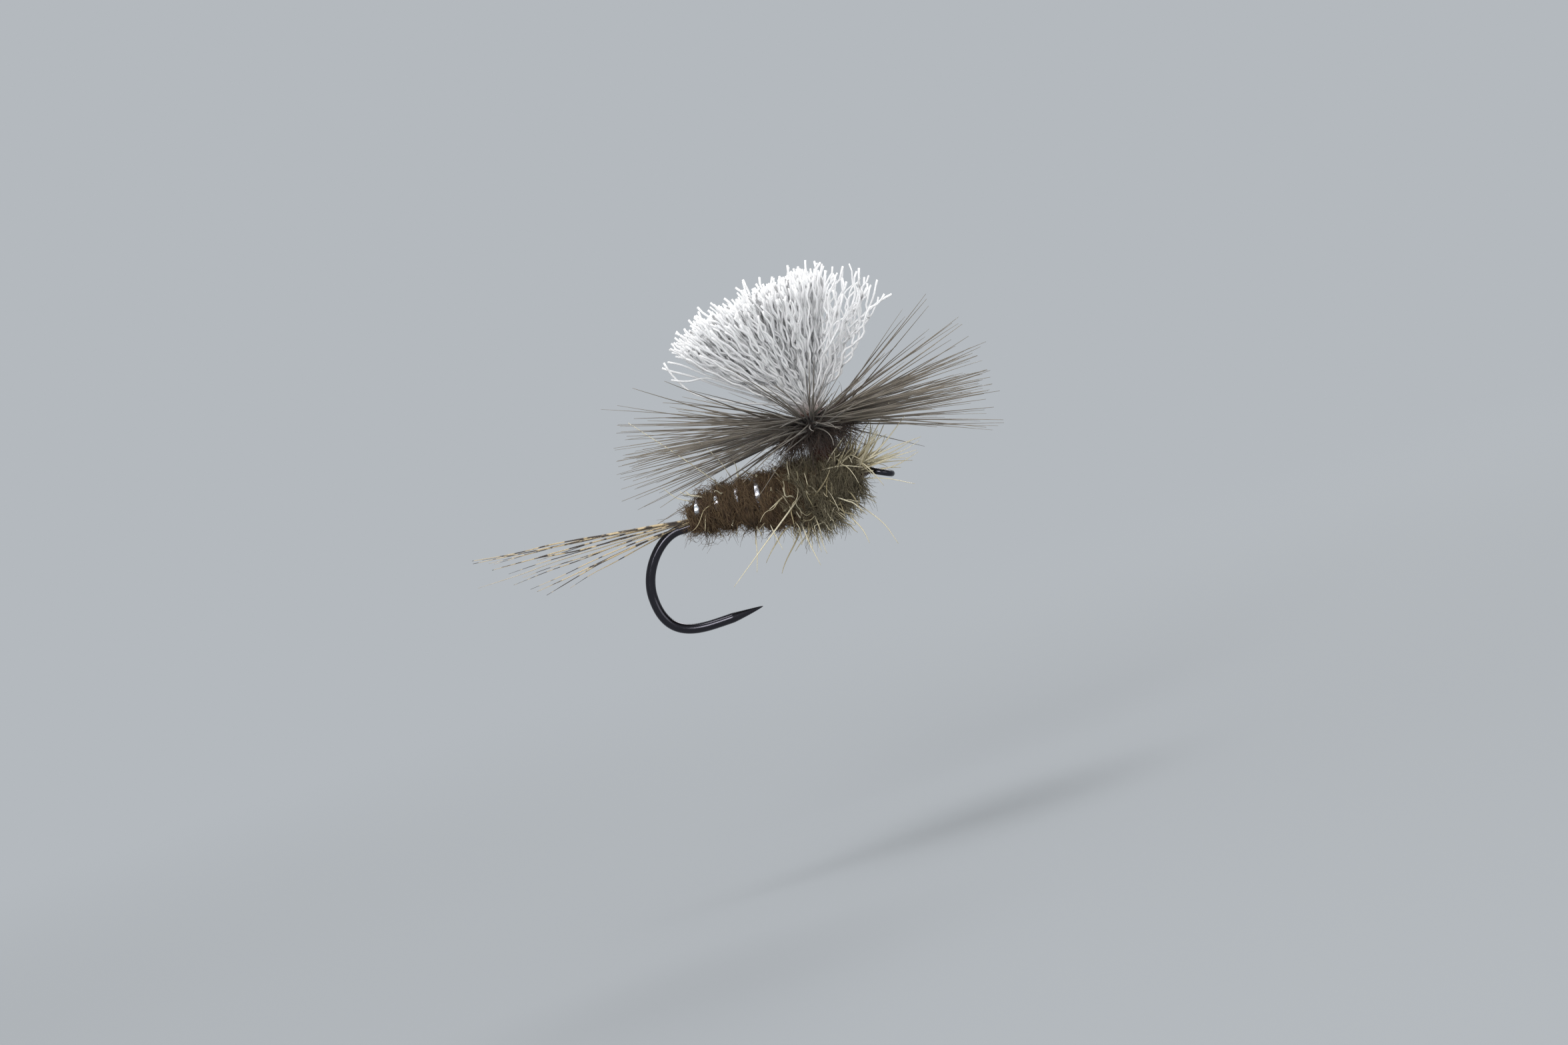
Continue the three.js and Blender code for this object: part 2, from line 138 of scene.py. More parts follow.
# Makes one mesh of many round tubes. paths is tubes x steps x 3 and widths is tubes x steps, both in mm.
# swell multiplies the radius at each corner, flat thins the section, and across sets the way its width lies.
# Each tube keeps its own strip of the bake map, and the attributes along, tint and reach for its material.
def makeTubes(name, paths, widths, sides, material, tint=None, swell=None, flat=1.0, across=None):
    paths = np.asarray(paths, float)
    count, steps, _ = paths.shape
    widths = np.broadcast_to(widths, (count, steps))
    heading = np.gradient(paths, axis=1)
    heading /= np.linalg.norm(heading, axis=2, keepdims=True) + 1e-12
    side = np.empty_like(paths)
    if across is None:
        least = np.abs(heading[:, 0]).argmin(axis=1)
        carried = np.cross(heading[:, 0], np.eye(3)[least])
    for step in range(steps):
        now = heading[:, step]
        carried = carried if across is None else across[:, step]
        carried = carried - now * (carried * now).sum(axis=1, keepdims=True)
        carried = carried / (np.linalg.norm(carried, axis=1, keepdims=True) + 1e-12)
        side[:, step] = carried
    upright = np.cross(heading, side)
    turn = np.arange(sides) * 2 * math.pi / sides
    radius = (widths / 2)[:, :, None] * (np.ones(sides) if swell is None else swell)
    ring = paths[:, :, None] + radius[..., None] * (
        np.cos(turn)[:, None] * side[:, :, None] + flat * np.sin(turn)[:, None] * upright[:, :, None])

    tube, step, corner = np.meshgrid(np.arange(count), np.arange(steps - 1), np.arange(sides), indexing="ij")
    here = (tube * steps + step) * sides
    beside = (corner + 1) % sides
    quads = np.stack([here + corner, here + beside, here + sides + beside, here + sides + corner], axis=-1)
    quads = quads.reshape(-1, 4)
    tubeStart = np.arange(count)[:, None] * steps * sides
    foot = tubeStart + np.arange(sides)[::-1]
    tip = tubeStart + (steps - 1) * sides + np.arange(sides)
    mesh = bpy.data.meshes.new(name)
    mesh.from_pydata((ring.reshape(-1, 3) * mm).tolist(), [], quads.tolist() + foot.tolist() + tip.tolist())

    cell = bakeCell
    rows = max(1, round(math.sqrt(count / cell["slender"])))
    columns = math.ceil(count / rows)
    cellU, cellV = tube % columns, tube // columns
    u = [cellU + cell["edge"] + cell["wide"] * (corner + k) / sides for k in (0, 1, 1, 0)]
    v = [cellV + cell["foot"] + cell["high"] * (step + k) / (steps - 1) for k in (0, 0, 1, 1)]
    body = np.stack([np.stack(u, axis=-1) / columns, np.stack(v, axis=-1) / rows], axis=-1).reshape(-1, 2)
    ends = []
    for middle, order in cell["ends"]:
        endU = middle + cell["endWide"] * np.cos(order * turn)
        endV = cell["endMiddle"] + cell["endHigh"] * np.sin(order * turn)
        spots = np.stack([endU, endV], axis=-1)
        cells = np.stack([np.arange(count) % columns, np.arange(count) // columns], axis=-1)[:, None]
        ends.append(((spots + cells) / [columns, rows]).reshape(-1, 2))
    bakeMap = mesh.uv_layers.new(name="OFBake")
    bakeMap.uv.foreach_set("vector", np.vstack([body, *ends]).astype(np.float32).ravel())

    lengths = np.linalg.norm(np.diff(paths, axis=1), axis=2).sum(axis=1)
    tint = np.full(count, 0.5) if tint is None else tint
    along = np.linspace(0, 1, steps)
    kept = {
        "along": np.broadcast_to(along[None, :, None], (count, steps, sides)),
        "tint": np.broadcast_to(tint[:, None, None], (count, steps, sides)),
        "reach": along[None, :, None] * np.broadcast_to(lengths[:, None, None], (count, steps, sides)),
    }
    for label, values in kept.items():
        layer = mesh.attributes.new(label, "FLOAT", "POINT")
        layer.data.foreach_set("value", np.ascontiguousarray(values, np.float32).ravel())
    mesh.shade_smooth()
    mesh.materials.append(material)
    piece = bpy.data.objects.new(name, mesh)
    sceneRoot.collection.objects.link(piece)
    return piece


# Every piece rides on the hook's body and says which CAD nodes it stands for
def fitPiece(piece, slot, *nodes):
    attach(piece, "root")
    if nodes:
        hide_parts(*nodes)
    print("made", piece.name, len(piece.data.polygons), "faces")
    return piece


# Hook. Carbon-steel wire, bent, hardened and plated black nickel: a dark mirror with thin bright streaks.
def blackNickel():
    material, tree, shader = startMaterial("blackNickelSteel", {
        "Base Color": colour("#3c3b40"), "Metallic": 1.0, "Roughness": 0.14})
    place = addNode(tree, "TexCoord").outputs["Object"]
    # drawing marks 0.05 mm apart and plating mottle 0.4 mm across
    marks = addNode(tree, "TexNoise", {}, {"Vector": place, "Scale": 1 / (0.4 * mm), "Detail": 5.0})
    rough = addNode(tree, "MapRange", {}, {
        "Value": marks.outputs["Fac"], "From Min": 0.3, "From Max": 0.7, "To Min": 0.1, "To Max": 0.2})
    tree.links.new(rough.outputs["Result"], shader.inputs["Roughness"])
    fine = addNode(tree, "TexNoise", {}, {"Vector": place, "Scale": 1 / (0.05 * mm), "Detail": 2.0})
    bump = addNode(tree, "Bump", {}, {
        "Height": fine.outputs["Fac"], "Strength": 0.25, "Distance": 0.004 * mm})
    tree.links.new(bump.outputs["Normal"], shader.inputs["Normal"])
    return material


# Each handle is how far a curve of the bend holds its direction, as a share of the distance that it crosses
hookWire = dict(
    diameter=0.5, eyeWire=0.32, eyeHole=0.78, eyeDroop=27, eyeTaper=0.8,
    eyeFrom=168, eyeTo=-148, eyeSteps=48, neckRun=0.25,
    bendStart=1.0, bendSetback=1.3, bendHeight=0.43, heel=(1.2, -0.14), point=(3.8, -0.03),
    startHandle=0.45, rearHandles=(0.5, 0.8), heelHandle=0.6,
    pointLength=1.6, pointWidth=0.03, pointPower=0.8, sides=16, steps=300)


# A place on the fly's middle plane
def onPlane(x, z):
    return np.array([x, 0.0, z])


def bezier(a, b, c, d, count=40):
    t = np.linspace(0, 1, count)[:, None]
    return (1 - t) ** 3 * a + 3 * (1 - t) ** 2 * t * b + 3 * (1 - t) * t ** 2 * c + t ** 3 * d


def makeHook():
    size = hookWire
    front = boxMm("hook")[1][0]
    droop = math.radians(size["eyeDroop"])
    down, sideways = onPlane(math.cos(droop), -math.sin(droop)), np.array([0.0, 1.0, 0.0])
    eyeRadius = (size["eyeHole"] + size["eyeWire"]) / 2
    # the far side of the ring touches the CAD hook's front, which gives the ring's centre and the neck
    eyeX = front - (eyeRadius * down[0] + size["eyeWire"] / 2)
    neck = onPlane(eyeX - (eyeRadius + size["eyeWire"] / 2) * down[0], shankZ)
    eyeCentre = neck + (eyeRadius + size["eyeWire"] / 2) * down
    # the wire comes round the eye from its cut end, closes against itself and runs back into the shank
    turn = np.radians(np.linspace(size["eyeFrom"], size["eyeTo"], size["eyeSteps"]))
    loop = eyeCentre + eyeRadius * (np.cos(turn)[:, None] * down + np.sin(turn)[:, None] * sideways)
    into = smoothPath([loop[-2], loop[-1], neck + 0.1 * down - 0.05 * sideways, neck - onPlane(0.22, -0.01),
                       neck - onPlane(0.6, 0), neck - onPlane(1.0, 0)], 30)[3:]
    start = onPlane(size["bendStart"], shankZ)
    rear = onPlane(-size["bendSetback"], size["bendHeight"] * shankZ)
    heel, point = onPlane(*size["heel"]), onPlane(*size["point"])
    above, below = size["rearHandles"]
    upper = bezier(start, start + onPlane(size["startHandle"] * (rear - start)[0], 0),
                   rear + onPlane(0, above * (start - rear)[2]), rear)
    lower = bezier(rear, rear + onPlane(0, below * (heel - rear)[2]),
                   heel + onPlane(size["heelHandle"] * (rear - heel)[0], 0), heel)
    halfway = onPlane((heel[0] + point[0]) / 2, heel[2])
    spear = bezier(heel, heel + (halfway - heel) * 2 / 3, point + (halfway - point) * 2 / 3, point)
    line = np.vstack([loop, into, start + onPlane(0.3, 0), upper, lower[1:], spear[1:]])
    path = evenPoints(line, size["steps"])
    total = np.linalg.norm(np.diff(path, axis=0), axis=1).sum()
    station = np.linspace(0, total, size["steps"])
    loopLength = eyeRadius * math.radians(size["eyeFrom"] - size["eyeTo"]) + size["neckRun"]
    atEye = size["eyeWire"] + (size["diameter"] - size["eyeWire"]) * easeBetween(
        loopLength, loopLength + size["eyeTaper"], station)
    atPoint = size["pointWidth"] + (size["diameter"] - size["pointWidth"]) * np.clip(
        (total - station) / size["pointLength"], 0, 1) ** size["pointPower"]
    hook = makeTubes("hook_wire", path[None], np.minimum(atEye, atPoint)[None], size["sides"], blackNickel())
    fitPiece(hook, "hook_wire", "hook")


makeHook()


# Tying thread. Waxed polyester, 0.07 mm, wound wet-tight: dark red-brown with a soft shine on each wrap.
def waxedThread(name, glossy=0.0):
    material, tree, shader = startMaterial(name, {
        "Base Color": colour("#3d2016"), "Roughness": 0.48, "IOR": 1.55,
        "Coat Weight": glossy, "Coat Roughness": 0.08, "Coat IOR": 1.5})
    place = addNode(tree, "TexCoord").outputs["Object"]
    # the filaments of the thread, drawn 0.03 mm apart, twice as coarse as they are, so that they show
    strands = addNode(tree, "TexNoise", {}, {"Vector": place, "Scale": 1 / (0.03 * mm), "Detail": 3.0})
    shade = addNode(tree, "Mix", colourMode, {
        0: strands.outputs["Fac"], 6: colour("#2a130d"), 7: colour("#5e3626")}).outputs[2]
    tree.links.new(shade, shader.inputs["Base Color"])
    bump = addNode(tree, "Bump", {}, {
        "Height": strands.outputs["Fac"], "Strength": 0.5, "Distance": 0.01 * mm})
    tree.links.new(bump.outputs["Normal"], shader.inputs["Normal"])
    return material


threadWraps = dict(
    thickness=0.075, pitch=0.082, stepsPerTurn=18, fewestSteps=20, sides=6, wander=0.012, rideUp=0.6,
    lashing=(0.6, 0.35),  # how far up the shank the first and last turns over the tail lie, in under the fur
    sunk=0.12, lashBulge=0.05, postRipple=(0.03, 9), tieRipple=(0.02, 7),
    head=(0.3, 0.1), headEnds=(0.05, 0.1))


# One length of thread wound round an axis, from start to end, with hand-laid unevenness
def windThread(start, end, radiusAt, centreZ, axis, seed):
    size = threadWraps
    rng = np.random.default_rng(seed)
    turns = abs(end - start) / size["pitch"]
    steps = max(size["fewestSteps"], int(turns * size["stepsPerTurn"]))
    share = np.linspace(0, 1, steps)
    angle = share * turns * 2 * math.pi
    knots = int(turns) + 3
    wander = np.interp(share * turns, np.arange(knots), rng.normal(0, size["wander"], knots))
    place = start + share * (end - start) + wander
    radius = radiusAt(share) + size["thickness"] / 2 + np.abs(wander) * size["rideUp"]
    if axis == "x":
        return np.stack([place, radius * np.sin(angle), centreZ + radius * np.cos(angle)], axis=1)
    return np.stack([postX + radius * np.cos(angle), radius * np.sin(angle), place], axis=1)


def makeThreads():
    size = threadWraps
    plain, varnished = waxedThread("waxedPolyesterThread"), waxedThread("varnishedThreadHead", 1.0)
    wireRadius = hookWire["diameter"] / 2
    lashLow, lashHigh = boxMm("tail_lashing")
    headLow, headHigh = boxMm("whip_finish_head")
    tieLow, tieHigh = boxMm("hackle_tie_off")
    lashRadius, lashZ = (lashHigh[2] - lashLow[2]) / 2, (lashLow[2] + lashHigh[2]) / 2
    lashStart, lashEnd = lashLow[0] + size["lashing"][0], lashHigh[0] + size["lashing"][1]
    headStart, headEnd = headLow[0] - size["headEnds"][0], headHigh[0] + size["headEnds"][1]
    (postDeep, postWaves), (tieDeep, tieWaves) = size["postRipple"], size["tieRipple"]
    # each run: its name, its CAD node, its two ends, its radius, its axis with its height, and its thread
    runs = [
        ("thread_bed", "thread_underbody", shankLow[0], shankHigh[0],
         lambda s: wireRadius + 0 * s, shankZ, "x", plain),
        ("tail_lashing_wraps", "tail_lashing", lashStart, lashEnd,
         lambda s: lashRadius - size["sunk"] + size["lashBulge"] * np.sin(math.pi * s), lashZ, "x", plain),
        ("post_wraps", "post_thread_wraps", postLow[2], postHigh[2],
         lambda s: postRadius - size["sunk"] + postDeep * np.sin(postWaves * s), 0, "z", plain),
        ("hackle_tie_off_wraps", "hackle_tie_off", tieLow[2], tieHigh[2],
         lambda s: postRadius + tieDeep * np.sin(tieWaves * s), 0, "z", plain),
        ("whip_finish_wraps", "whip_finish_head", headStart, headEnd,
         lambda s: size["head"][0] - size["head"][1] * s, shankZ, "x", varnished),
    ]
    for seed, (name, node, start, end, radiusAt, centreZ, axis, material) in enumerate(runs, 11):
        path = windThread(start, end, radiusAt, centreZ, axis, seed)
        piece = makeTubes(name, path[None], size["thickness"], size["sides"], material)
        fitPiece(piece, "tying_thread", node)


makeThreads()


# Tail. Barred body feather: keratin strands, cream with dark brown bars 0.6 mm apart and a silky shine.
def barredFeather():
    material, tree, shader, reach, tint = startMaterial("barredFeatherFibre", {
        "Base Color": colour("#b29a73"), "Roughness": 0.38, "IOR": 1.55, "Sheen Weight": 0.15
    }, "reach", "tint")
    # reach is in millimetres, so each unit of the noise is one bar and its neighbour
    lane = addNode(tree, "Math", {"operation": "MULTIPLY"}, {0: tint, 1: 37.0}).outputs[0]
    where = addNode(tree, "CombineXYZ", {}, {"X": reach, "Y": lane}).outputs["Vector"]
    bars = addNode(tree, "TexNoise", {}, {"Vector": where, "Scale": 1.35, "Detail": 2.0})
    edge = addNode(tree, "MapRange", softStep, {
        "Value": bars.outputs["Fac"], "From Min": 0.47, "From Max": 0.55, "To Min": 0.0, "To Max": 1.0})
    # fibres with a high tint are the plain pale ones
    plain = addNode(tree, "MapRange", softStep, {
        "Value": tint, "From Min": 0.8, "From Max": 0.9, "To Min": 0.0, "To Max": 0.85})
    barred = addNode(tree, "Mix", colourMode, {
        0: edge.outputs["Result"], 6: colour("#35291f"), 7: colour("#c2ae88")}).outputs[2]
    shade = addNode(tree, "Mix", colourMode, {
        0: plain.outputs["Result"], 6: barred, 7: colour("#b9ae98")}).outputs[2]
    tree.links.new(shade, shader.inputs["Base Color"])
    return material


# Each fibre: how far it climbs in degrees, its share of the full length and its lean to the side in degrees.
# They lie round the top of the shank, high ones on top and leaning ones to their own side.
tailFibres = dict(
    width=0.1, tip=0.02, taperPower=2.2, ripple=(0.12, 40), flat=0.7, sides=7, steps=44, length=11.7,
    tiedIn=0.4, tieBack=0.5, aboveShank=0.29, risePerDegree=0.012, asidePerDegree=0.035,
    bows=((0.05, 0.08), (0, 0.07)), bowDepth=1.2, laid=0.93, uneven=0.025,
    stations=(0.12, 0.35, 0.6, 0.8, 1.0), plainFibre=8, plainTint=0.95, mostTint=0.78,
    fibres=[(7.0, 1.0, -3), (6.6, 0.96, 4), (6.2, 1.0, 1), (5.6, 0.9, -7), (5.1, 0.95, 8), (4.2, 0.87, -2),
            (3.3, 0.93, 5), (2.0, 0.85, -9), (0.4, 1.0, -4), (-0.8, 0.81, 6), (-2.5, 0.87, 10),
            (-4.4, 0.78, -11), (-6.6, 0.76, 3), (-8.6, 0.72, -6), (-10.8, 0.63, 8), (2.7, 0.74, 12)])


def makeTail():
    size = tailFibres
    rng = np.random.default_rng(21)
    high = boxMm("tail_lashing")[1]
    paths, tints = [], []
    for number, (climb, share, lean) in enumerate(size["fibres"]):
        rise, away = math.radians(climb), math.radians(lean)
        length = size["length"] * share
        heading = np.array([-math.cos(rise) * math.cos(away), math.sin(away), math.sin(rise)])
        spot = np.array([high[0] + size["tiedIn"], size["asidePerDegree"] * lean,
                         shankZ + size["aboveShank"] + size["risePerDegree"] * climb])
        upward, aside = (rng.normal(*bow) for bow in size["bows"])
        leave = spot - np.array([size["tieBack"], 0, 0])
        controls = [spot, leave]
        for part in size["stations"]:
            sag = math.sin(math.pi * part) * np.array([0, aside, upward]) * size["bowDepth"]
            stretch = heading * length * part * size["laid"]
            controls.append(leave + stretch + sag + rng.normal(0, size["uneven"], 3))
        paths.append(smoothPath(controls, size["steps"]))
        tints.append(size["plainTint"] if number == size["plainFibre"] else rng.uniform(0, size["mostTint"]))
    along = np.linspace(0, 1, size["steps"])
    taper = size["tip"] + (size["width"] - size["tip"]) * (1 - along ** size["taperPower"])
    deep, waves = size["ripple"]
    width = taper * (1 + deep * np.sin(waves * along + rng.uniform(0, 6, (len(paths), 1))))
    tail = makeTubes("tail_fibres", np.array(paths), width, size["sides"], barredFeather(), np.array(tints),
                     flat=size["flat"])
    fitPiece(tail, "tail_fibre", *nodesCalled("tail_fibre"))


makeTail()


# Dubbing fur. Matt underfur that holds no edge of light, with fine hairs of three mixed shades.
def furMaterial(name, dark, middle, pale, roughness):
    material, tree, shader, tint, along = startMaterial(name, {
        "Base Color": colour(middle), "Roughness": roughness, "IOR": 1.55,
        "Sheen Weight": 0.25, "Sheen Roughness": 0.4, "Sheen Tint": colour(pale)}, "tint", "along")
    lower = addNode(tree, "MapRange", {}, {"Value": tint, "From Min": 0.0, "From Max": 0.45})
    upper = addNode(tree, "MapRange", {}, {"Value": tint, "From Min": 0.55, "From Max": 1.0})
    shade = addNode(tree, "Mix", colourMode, {
        0: lower.outputs["Result"], 6: colour(dark), 7: colour(middle)}).outputs[2]
    shade = addNode(tree, "Mix", colourMode, {
        0: upper.outputs["Result"], 6: shade, 7: colour(pale)}).outputs[2]
    # the feltwork of the fur, in tufts about 0.12 mm across
    place = addNode(tree, "TexCoord").outputs["Object"]
    tufts = addNode(tree, "TexNoise", {}, {"Vector": place, "Scale": 1 / (0.12 * mm), "Detail": 4.0})
    patch = addNode(tree, "MapRange", {}, {
        "Value": tufts.outputs["Fac"], "From Min": 0.35, "From Max": 0.65, "To Min": 0.0, "To Max": 0.55})
    shade = addNode(tree, "Mix", colourMode, {
        0: patch.outputs["Result"], 6: shade, 7: colour(dark)}).outputs[2]
    # hairs pale a little towards their tips
    tip = addNode(tree, "Math", {"operation": "MULTIPLY"}, {0: along, 1: 0.3}).outputs[0]
    shade = addNode(tree, "Mix", colourMode, {0: tip, 6: shade, 7: colour(pale)}).outputs[2]
    tree.links.new(shade, shader.inputs["Base Color"])
    bump = addNode(tree, "Bump", {}, {
        "Height": tufts.outputs["Fac"], "Strength": 0.8, "Distance": 0.05 * mm})
    tree.links.new(bump.outputs["Normal"], shader.inputs["Normal"])
    return material


# The fur's outline, station by station from the rear: how far along the shank, its middle and its radius
furOutline = dict(
    x=(1.6, 2.1, 2.9, 4.3, 5.6, 6.8, 8.0, 9.0, 9.8, 10.3, 10.6),
    middle=(5.15, 5.3, 5.33, 5.18, 4.88, 4.76, 4.66, 4.74, 4.95, 5.02, 4.95),
    radius=(0.5, 0.8, 0.92, 1.12, 1.38, 1.52, 1.6, 1.4, 1.04, 0.68, 0.42),
    ribPitch=1.04, firstRib=2.02, pinch=0.15, pinchFrom=(1.5, 2.1), pinchTo=(6.6, 7.4))

# How hairs lie. A pair is the least and most of an even spread, and a single number is one sigma or a share.
hairHabit = dict(
    tuftWidth=0.09, closing=0.8, lengthVaries=(0.75, 1.1), rootDepth=(0.8, 1.0), standVaries=(0.8, 1.2),
    risePower=(1.0, 2.2), tuftTurn=0.4, hairTurn=0.12, hairLean=0.1, waves=(0.5, 1.6), swings=(0.2, 1.0),
    thinning=0.7, thinningPower=1.5, widthVaries=(0.7, 1.3), shades=(1.6, 2.0), sides=3, steps=8)


# The radius is pinched in where the tinsel crosses, on the abdomen
def furRadius(x):
    size = furOutline
    radius = np.interp(x, size["x"], size["radius"])
    pinch = size["pinch"] * np.cos((x - size["firstRib"]) * 2 * math.pi / size["ribPitch"])
    return radius - pinch * (1 - easeBetween(*size["pinchTo"], x)) * easeBetween(*size["pinchFrom"], x)


def furMiddle(x):
    return np.interp(x, furOutline["x"], furOutline["middle"])


# Hairs rooted on the body of fur. Each lies round it for a while and then stands off, and some curl.
# A tuft is a number of hairs that stand together and close up towards their tips.
def furPaths(rng, count, span, length, wind, lift, sweep, curl, steps, around=(0, 360), hang=0.0, tuft=1):
    size = hairHabit
    groups = max(1, count // tuft)
    group = rng.integers(0, groups, count) if tuft > 1 else np.arange(count)
    loose = size["tuftWidth"] * (tuft > 1) * rng.normal(0, 1, (2, count, 1))
    x = rng.uniform(*span, groups)[group][:, None]
    angle = np.radians(rng.uniform(*around, groups))[group][:, None]
    share = np.linspace(0, 1, steps)[None]
    reach = rng.uniform(*length, groups)[group][:, None]
    reach = reach * rng.uniform(*size["lengthVaries"], (count, 1)) * share
    start = furRadius(x) * rng.uniform(*size["rootDepth"], (count, 1))
    standing = rng.uniform(*lift, groups)[group][:, None] * rng.uniform(*size["standVaries"], (count, 1))
    rise = standing * share ** rng.uniform(*size["risePower"], groups)[group][:, None] * reach[:, -1:]
    turning = rng.normal(wind, size["tuftTurn"], groups)[group][:, None]
    turning = turning + rng.normal(0, size["hairTurn"], (count, 1))
    closing = 1 - size["closing"] * share
    angleNow = angle + (turning * reach + loose[0] * closing) / start
    leaning = rng.normal(*sweep, groups)[group][:, None] + rng.normal(0, size["hairLean"], (count, 1))
    xNow = x + loose[1] * closing + leaning * reach
    wave = rng.uniform(*size["waves"], (count, 1)) * 2 * math.pi * share
    swing = curl * share * rng.uniform(*size["swings"], (count, 1))
    xNow = xNow + swing * np.sin(wave + rng.uniform(0, 6, (count, 1)))
    radius = start + rise + 0.5 * swing * np.sin(wave + rng.uniform(0, 6, (count, 1)))
    angleNow = angleNow + swing * np.sin(wave * 1.3 + rng.uniform(0, 6, (count, 1))) / start
    z = furMiddle(x) + radius * np.cos(angleNow) - hang * reach * share
    return np.stack([xNow, radius * np.sin(angleNow), z], axis=2)


# The dense felt under the hairs, from one place along the shank to another. It closes up at both its ends.
feltCore = dict(spacing=0.055, corners=48, lumps=0.06, fill=1.72, tint=0.3,
                endRadius=0.35, endTaper=(-0.02, 0.3))


def furCore(name, rng, start, end, material):
    size = feltCore
    stations = int((end - start) / size["spacing"])
    x = np.linspace(start, end, stations)
    line = np.stack([x, 0 * x, furMiddle(x)], axis=1)
    lumps = 1 + size["lumps"] * rng.normal(0, 1, (1, stations, size["corners"]))
    taper = easeBetween(*size["endTaper"], x - start) * easeBetween(*size["endTaper"], end - x)
    width = size["fill"] * furRadius(x) * (size["endRadius"] + (1 - size["endRadius"]) * np.sqrt(taper))
    tint = np.array([size["tint"]])
    return makeTubes(name, line[None], width[None], size["corners"], material, tint, swell=lumps)


# Hair that would hide a flash of tinsel is left out: each flash has a clearing of its own width
def clearFlashes(paths):
    keep = np.ones(len(paths), bool)
    for x, angle, width in ribTinsel["flashes"]:
        turn = math.radians(angle)
        radius = furRadius(x)
        spot = np.array([x, radius * math.sin(turn), furMiddle(x) + radius * math.cos(turn)])
        keep &= np.linalg.norm(paths - spot, axis=2).min(axis=1) > width
    return paths[keep]


# One layer of hairs, thick at the root, fine at the tip and of every shade the fur has
def growHair(name, slot, rng, span, layer, material):
    size = hairHabit
    paths = furPaths(rng, layer["count"], span, layer["length"], layer["wind"], layer["lift"], layer["sweep"],
                     layer["curl"], size["steps"], hang=layer.get("hang", 0.0), tuft=layer["tuft"])
    paths = clearFlashes(paths)
    count = len(paths)
    thinning = 1 - size["thinning"] * np.linspace(0, 1, size["steps"]) ** size["thinningPower"]
    width = layer["width"] * rng.uniform(*size["widthVaries"], (count, 1)) * thinning
    shades = rng.beta(*size["shades"], count)
    fitPiece(makeTubes(name, paths, width, size["sides"], material, shades), slot)


# One stretch of the body: its felt core and then its layers of hair
def makeFur(name, seed, size, material):
    rng = np.random.default_rng(seed)
    low, high = size["span"]
    slot = name + "_fur"
    fitPiece(furCore(slot + "_core", rng, low, high, material), slot, name + "_dubbing")
    for layer in size["layers"]:
        growHair(slot + "_" + layer["name"], slot, rng, (low, high + size["overlap"]), layer, material)


# Abdomen: a wound rope of fur, pinched in by the tinsel at each turn
# Its layers, from the felt outwards, each with its hairs' count, length, slant round it, lift and so on
abdomen = dict(
    span=(1.75, 7.7), overlap=0.3,
    layers=[
        dict(name="felted", count=4300, length=(0.5, 1.6), wind=1.0, lift=(0.0, 0.12), sweep=(0.1, 0.25),
             curl=0.1, tuft=9, width=0.03),
        dict(name="wound", count=3600, length=(0.6, 1.8), wind=0.8, lift=(0.05, 0.3), sweep=(0, 0.35),
             curl=0.2, tuft=7, width=0.03),
        dict(name="loose", count=1500, length=(0.5, 1.25), wind=0.3, lift=(0.3, 0.8), sweep=(-0.1, 0.45),
             curl=0.34, tuft=3, width=0.032, hang=0.12),
    ])

# Rib: flat tinsel wound in open turns and half lost in the fur. It rises out of the fur round the angles of
# shows, for showsFor degrees each way. Each flash is its place along the shank, its angle and its clearing.
ribTinsel = dict(
    width=0.28, thickness=0.035, stepsPerTurn=40, sides=10, proud=0.02, buried=0.15, phase=250,
    buriedFrom=5.7, buriedOver=0.4, buriedDepth=2.5, shows=(-57, 57), showsFor=15,
    flashes=[(2.16, -60, 0.3), (3.2, -58, 0.22), (4.25, -55, 0.1), (5.28, -54, 0.26),
             (2.49, 57, 0.24), (3.53, 57, 0.18), (4.57, 57, 0.12), (5.61, 57, 0.22)])

makeFur("abdomen", 31, abdomen, furMaterial("reddishBrownFur", "#1d110a", "#472d1b", "#98805c", 0.8))


# Rib. Flat tinsel, metallised polyester film about 0.28 mm wide: it flashes silver with a pearl cast.
def filmTinsel():
    material, tree, shader = startMaterial("pearlFilmTinsel", {
        "Base Color": colour("#dfe3e8"), "Metallic": 1.0, "Roughness": 0.27})
    place = addNode(tree, "TexCoord").outputs["Object"]
    # the pearl cast shifts over about 0.5 mm of film
    cast = addNode(tree, "TexNoise", {}, {"Vector": place, "Scale": 1 / (0.5 * mm), "Detail": 1.0})
    shade = addNode(tree, "Mix", colourMode, {
        0: cast.outputs["Fac"], 6: colour("#cfe0ea"), 7: colour("#efe2e6")}).outputs[2]
    tree.links.new(shade, shader.inputs["Base Color"])
    creases = addNode(tree, "TexNoise", {}, {"Vector": place, "Scale": 1 / (0.15 * mm), "Detail": 2.0})
    bump = addNode(tree, "Bump", {}, {
        "Height": creases.outputs["Fac"], "Strength": 0.06, "Distance": 0.02 * mm})
    tree.links.new(bump.outputs["Normal"], shader.inputs["Normal"])
    return material


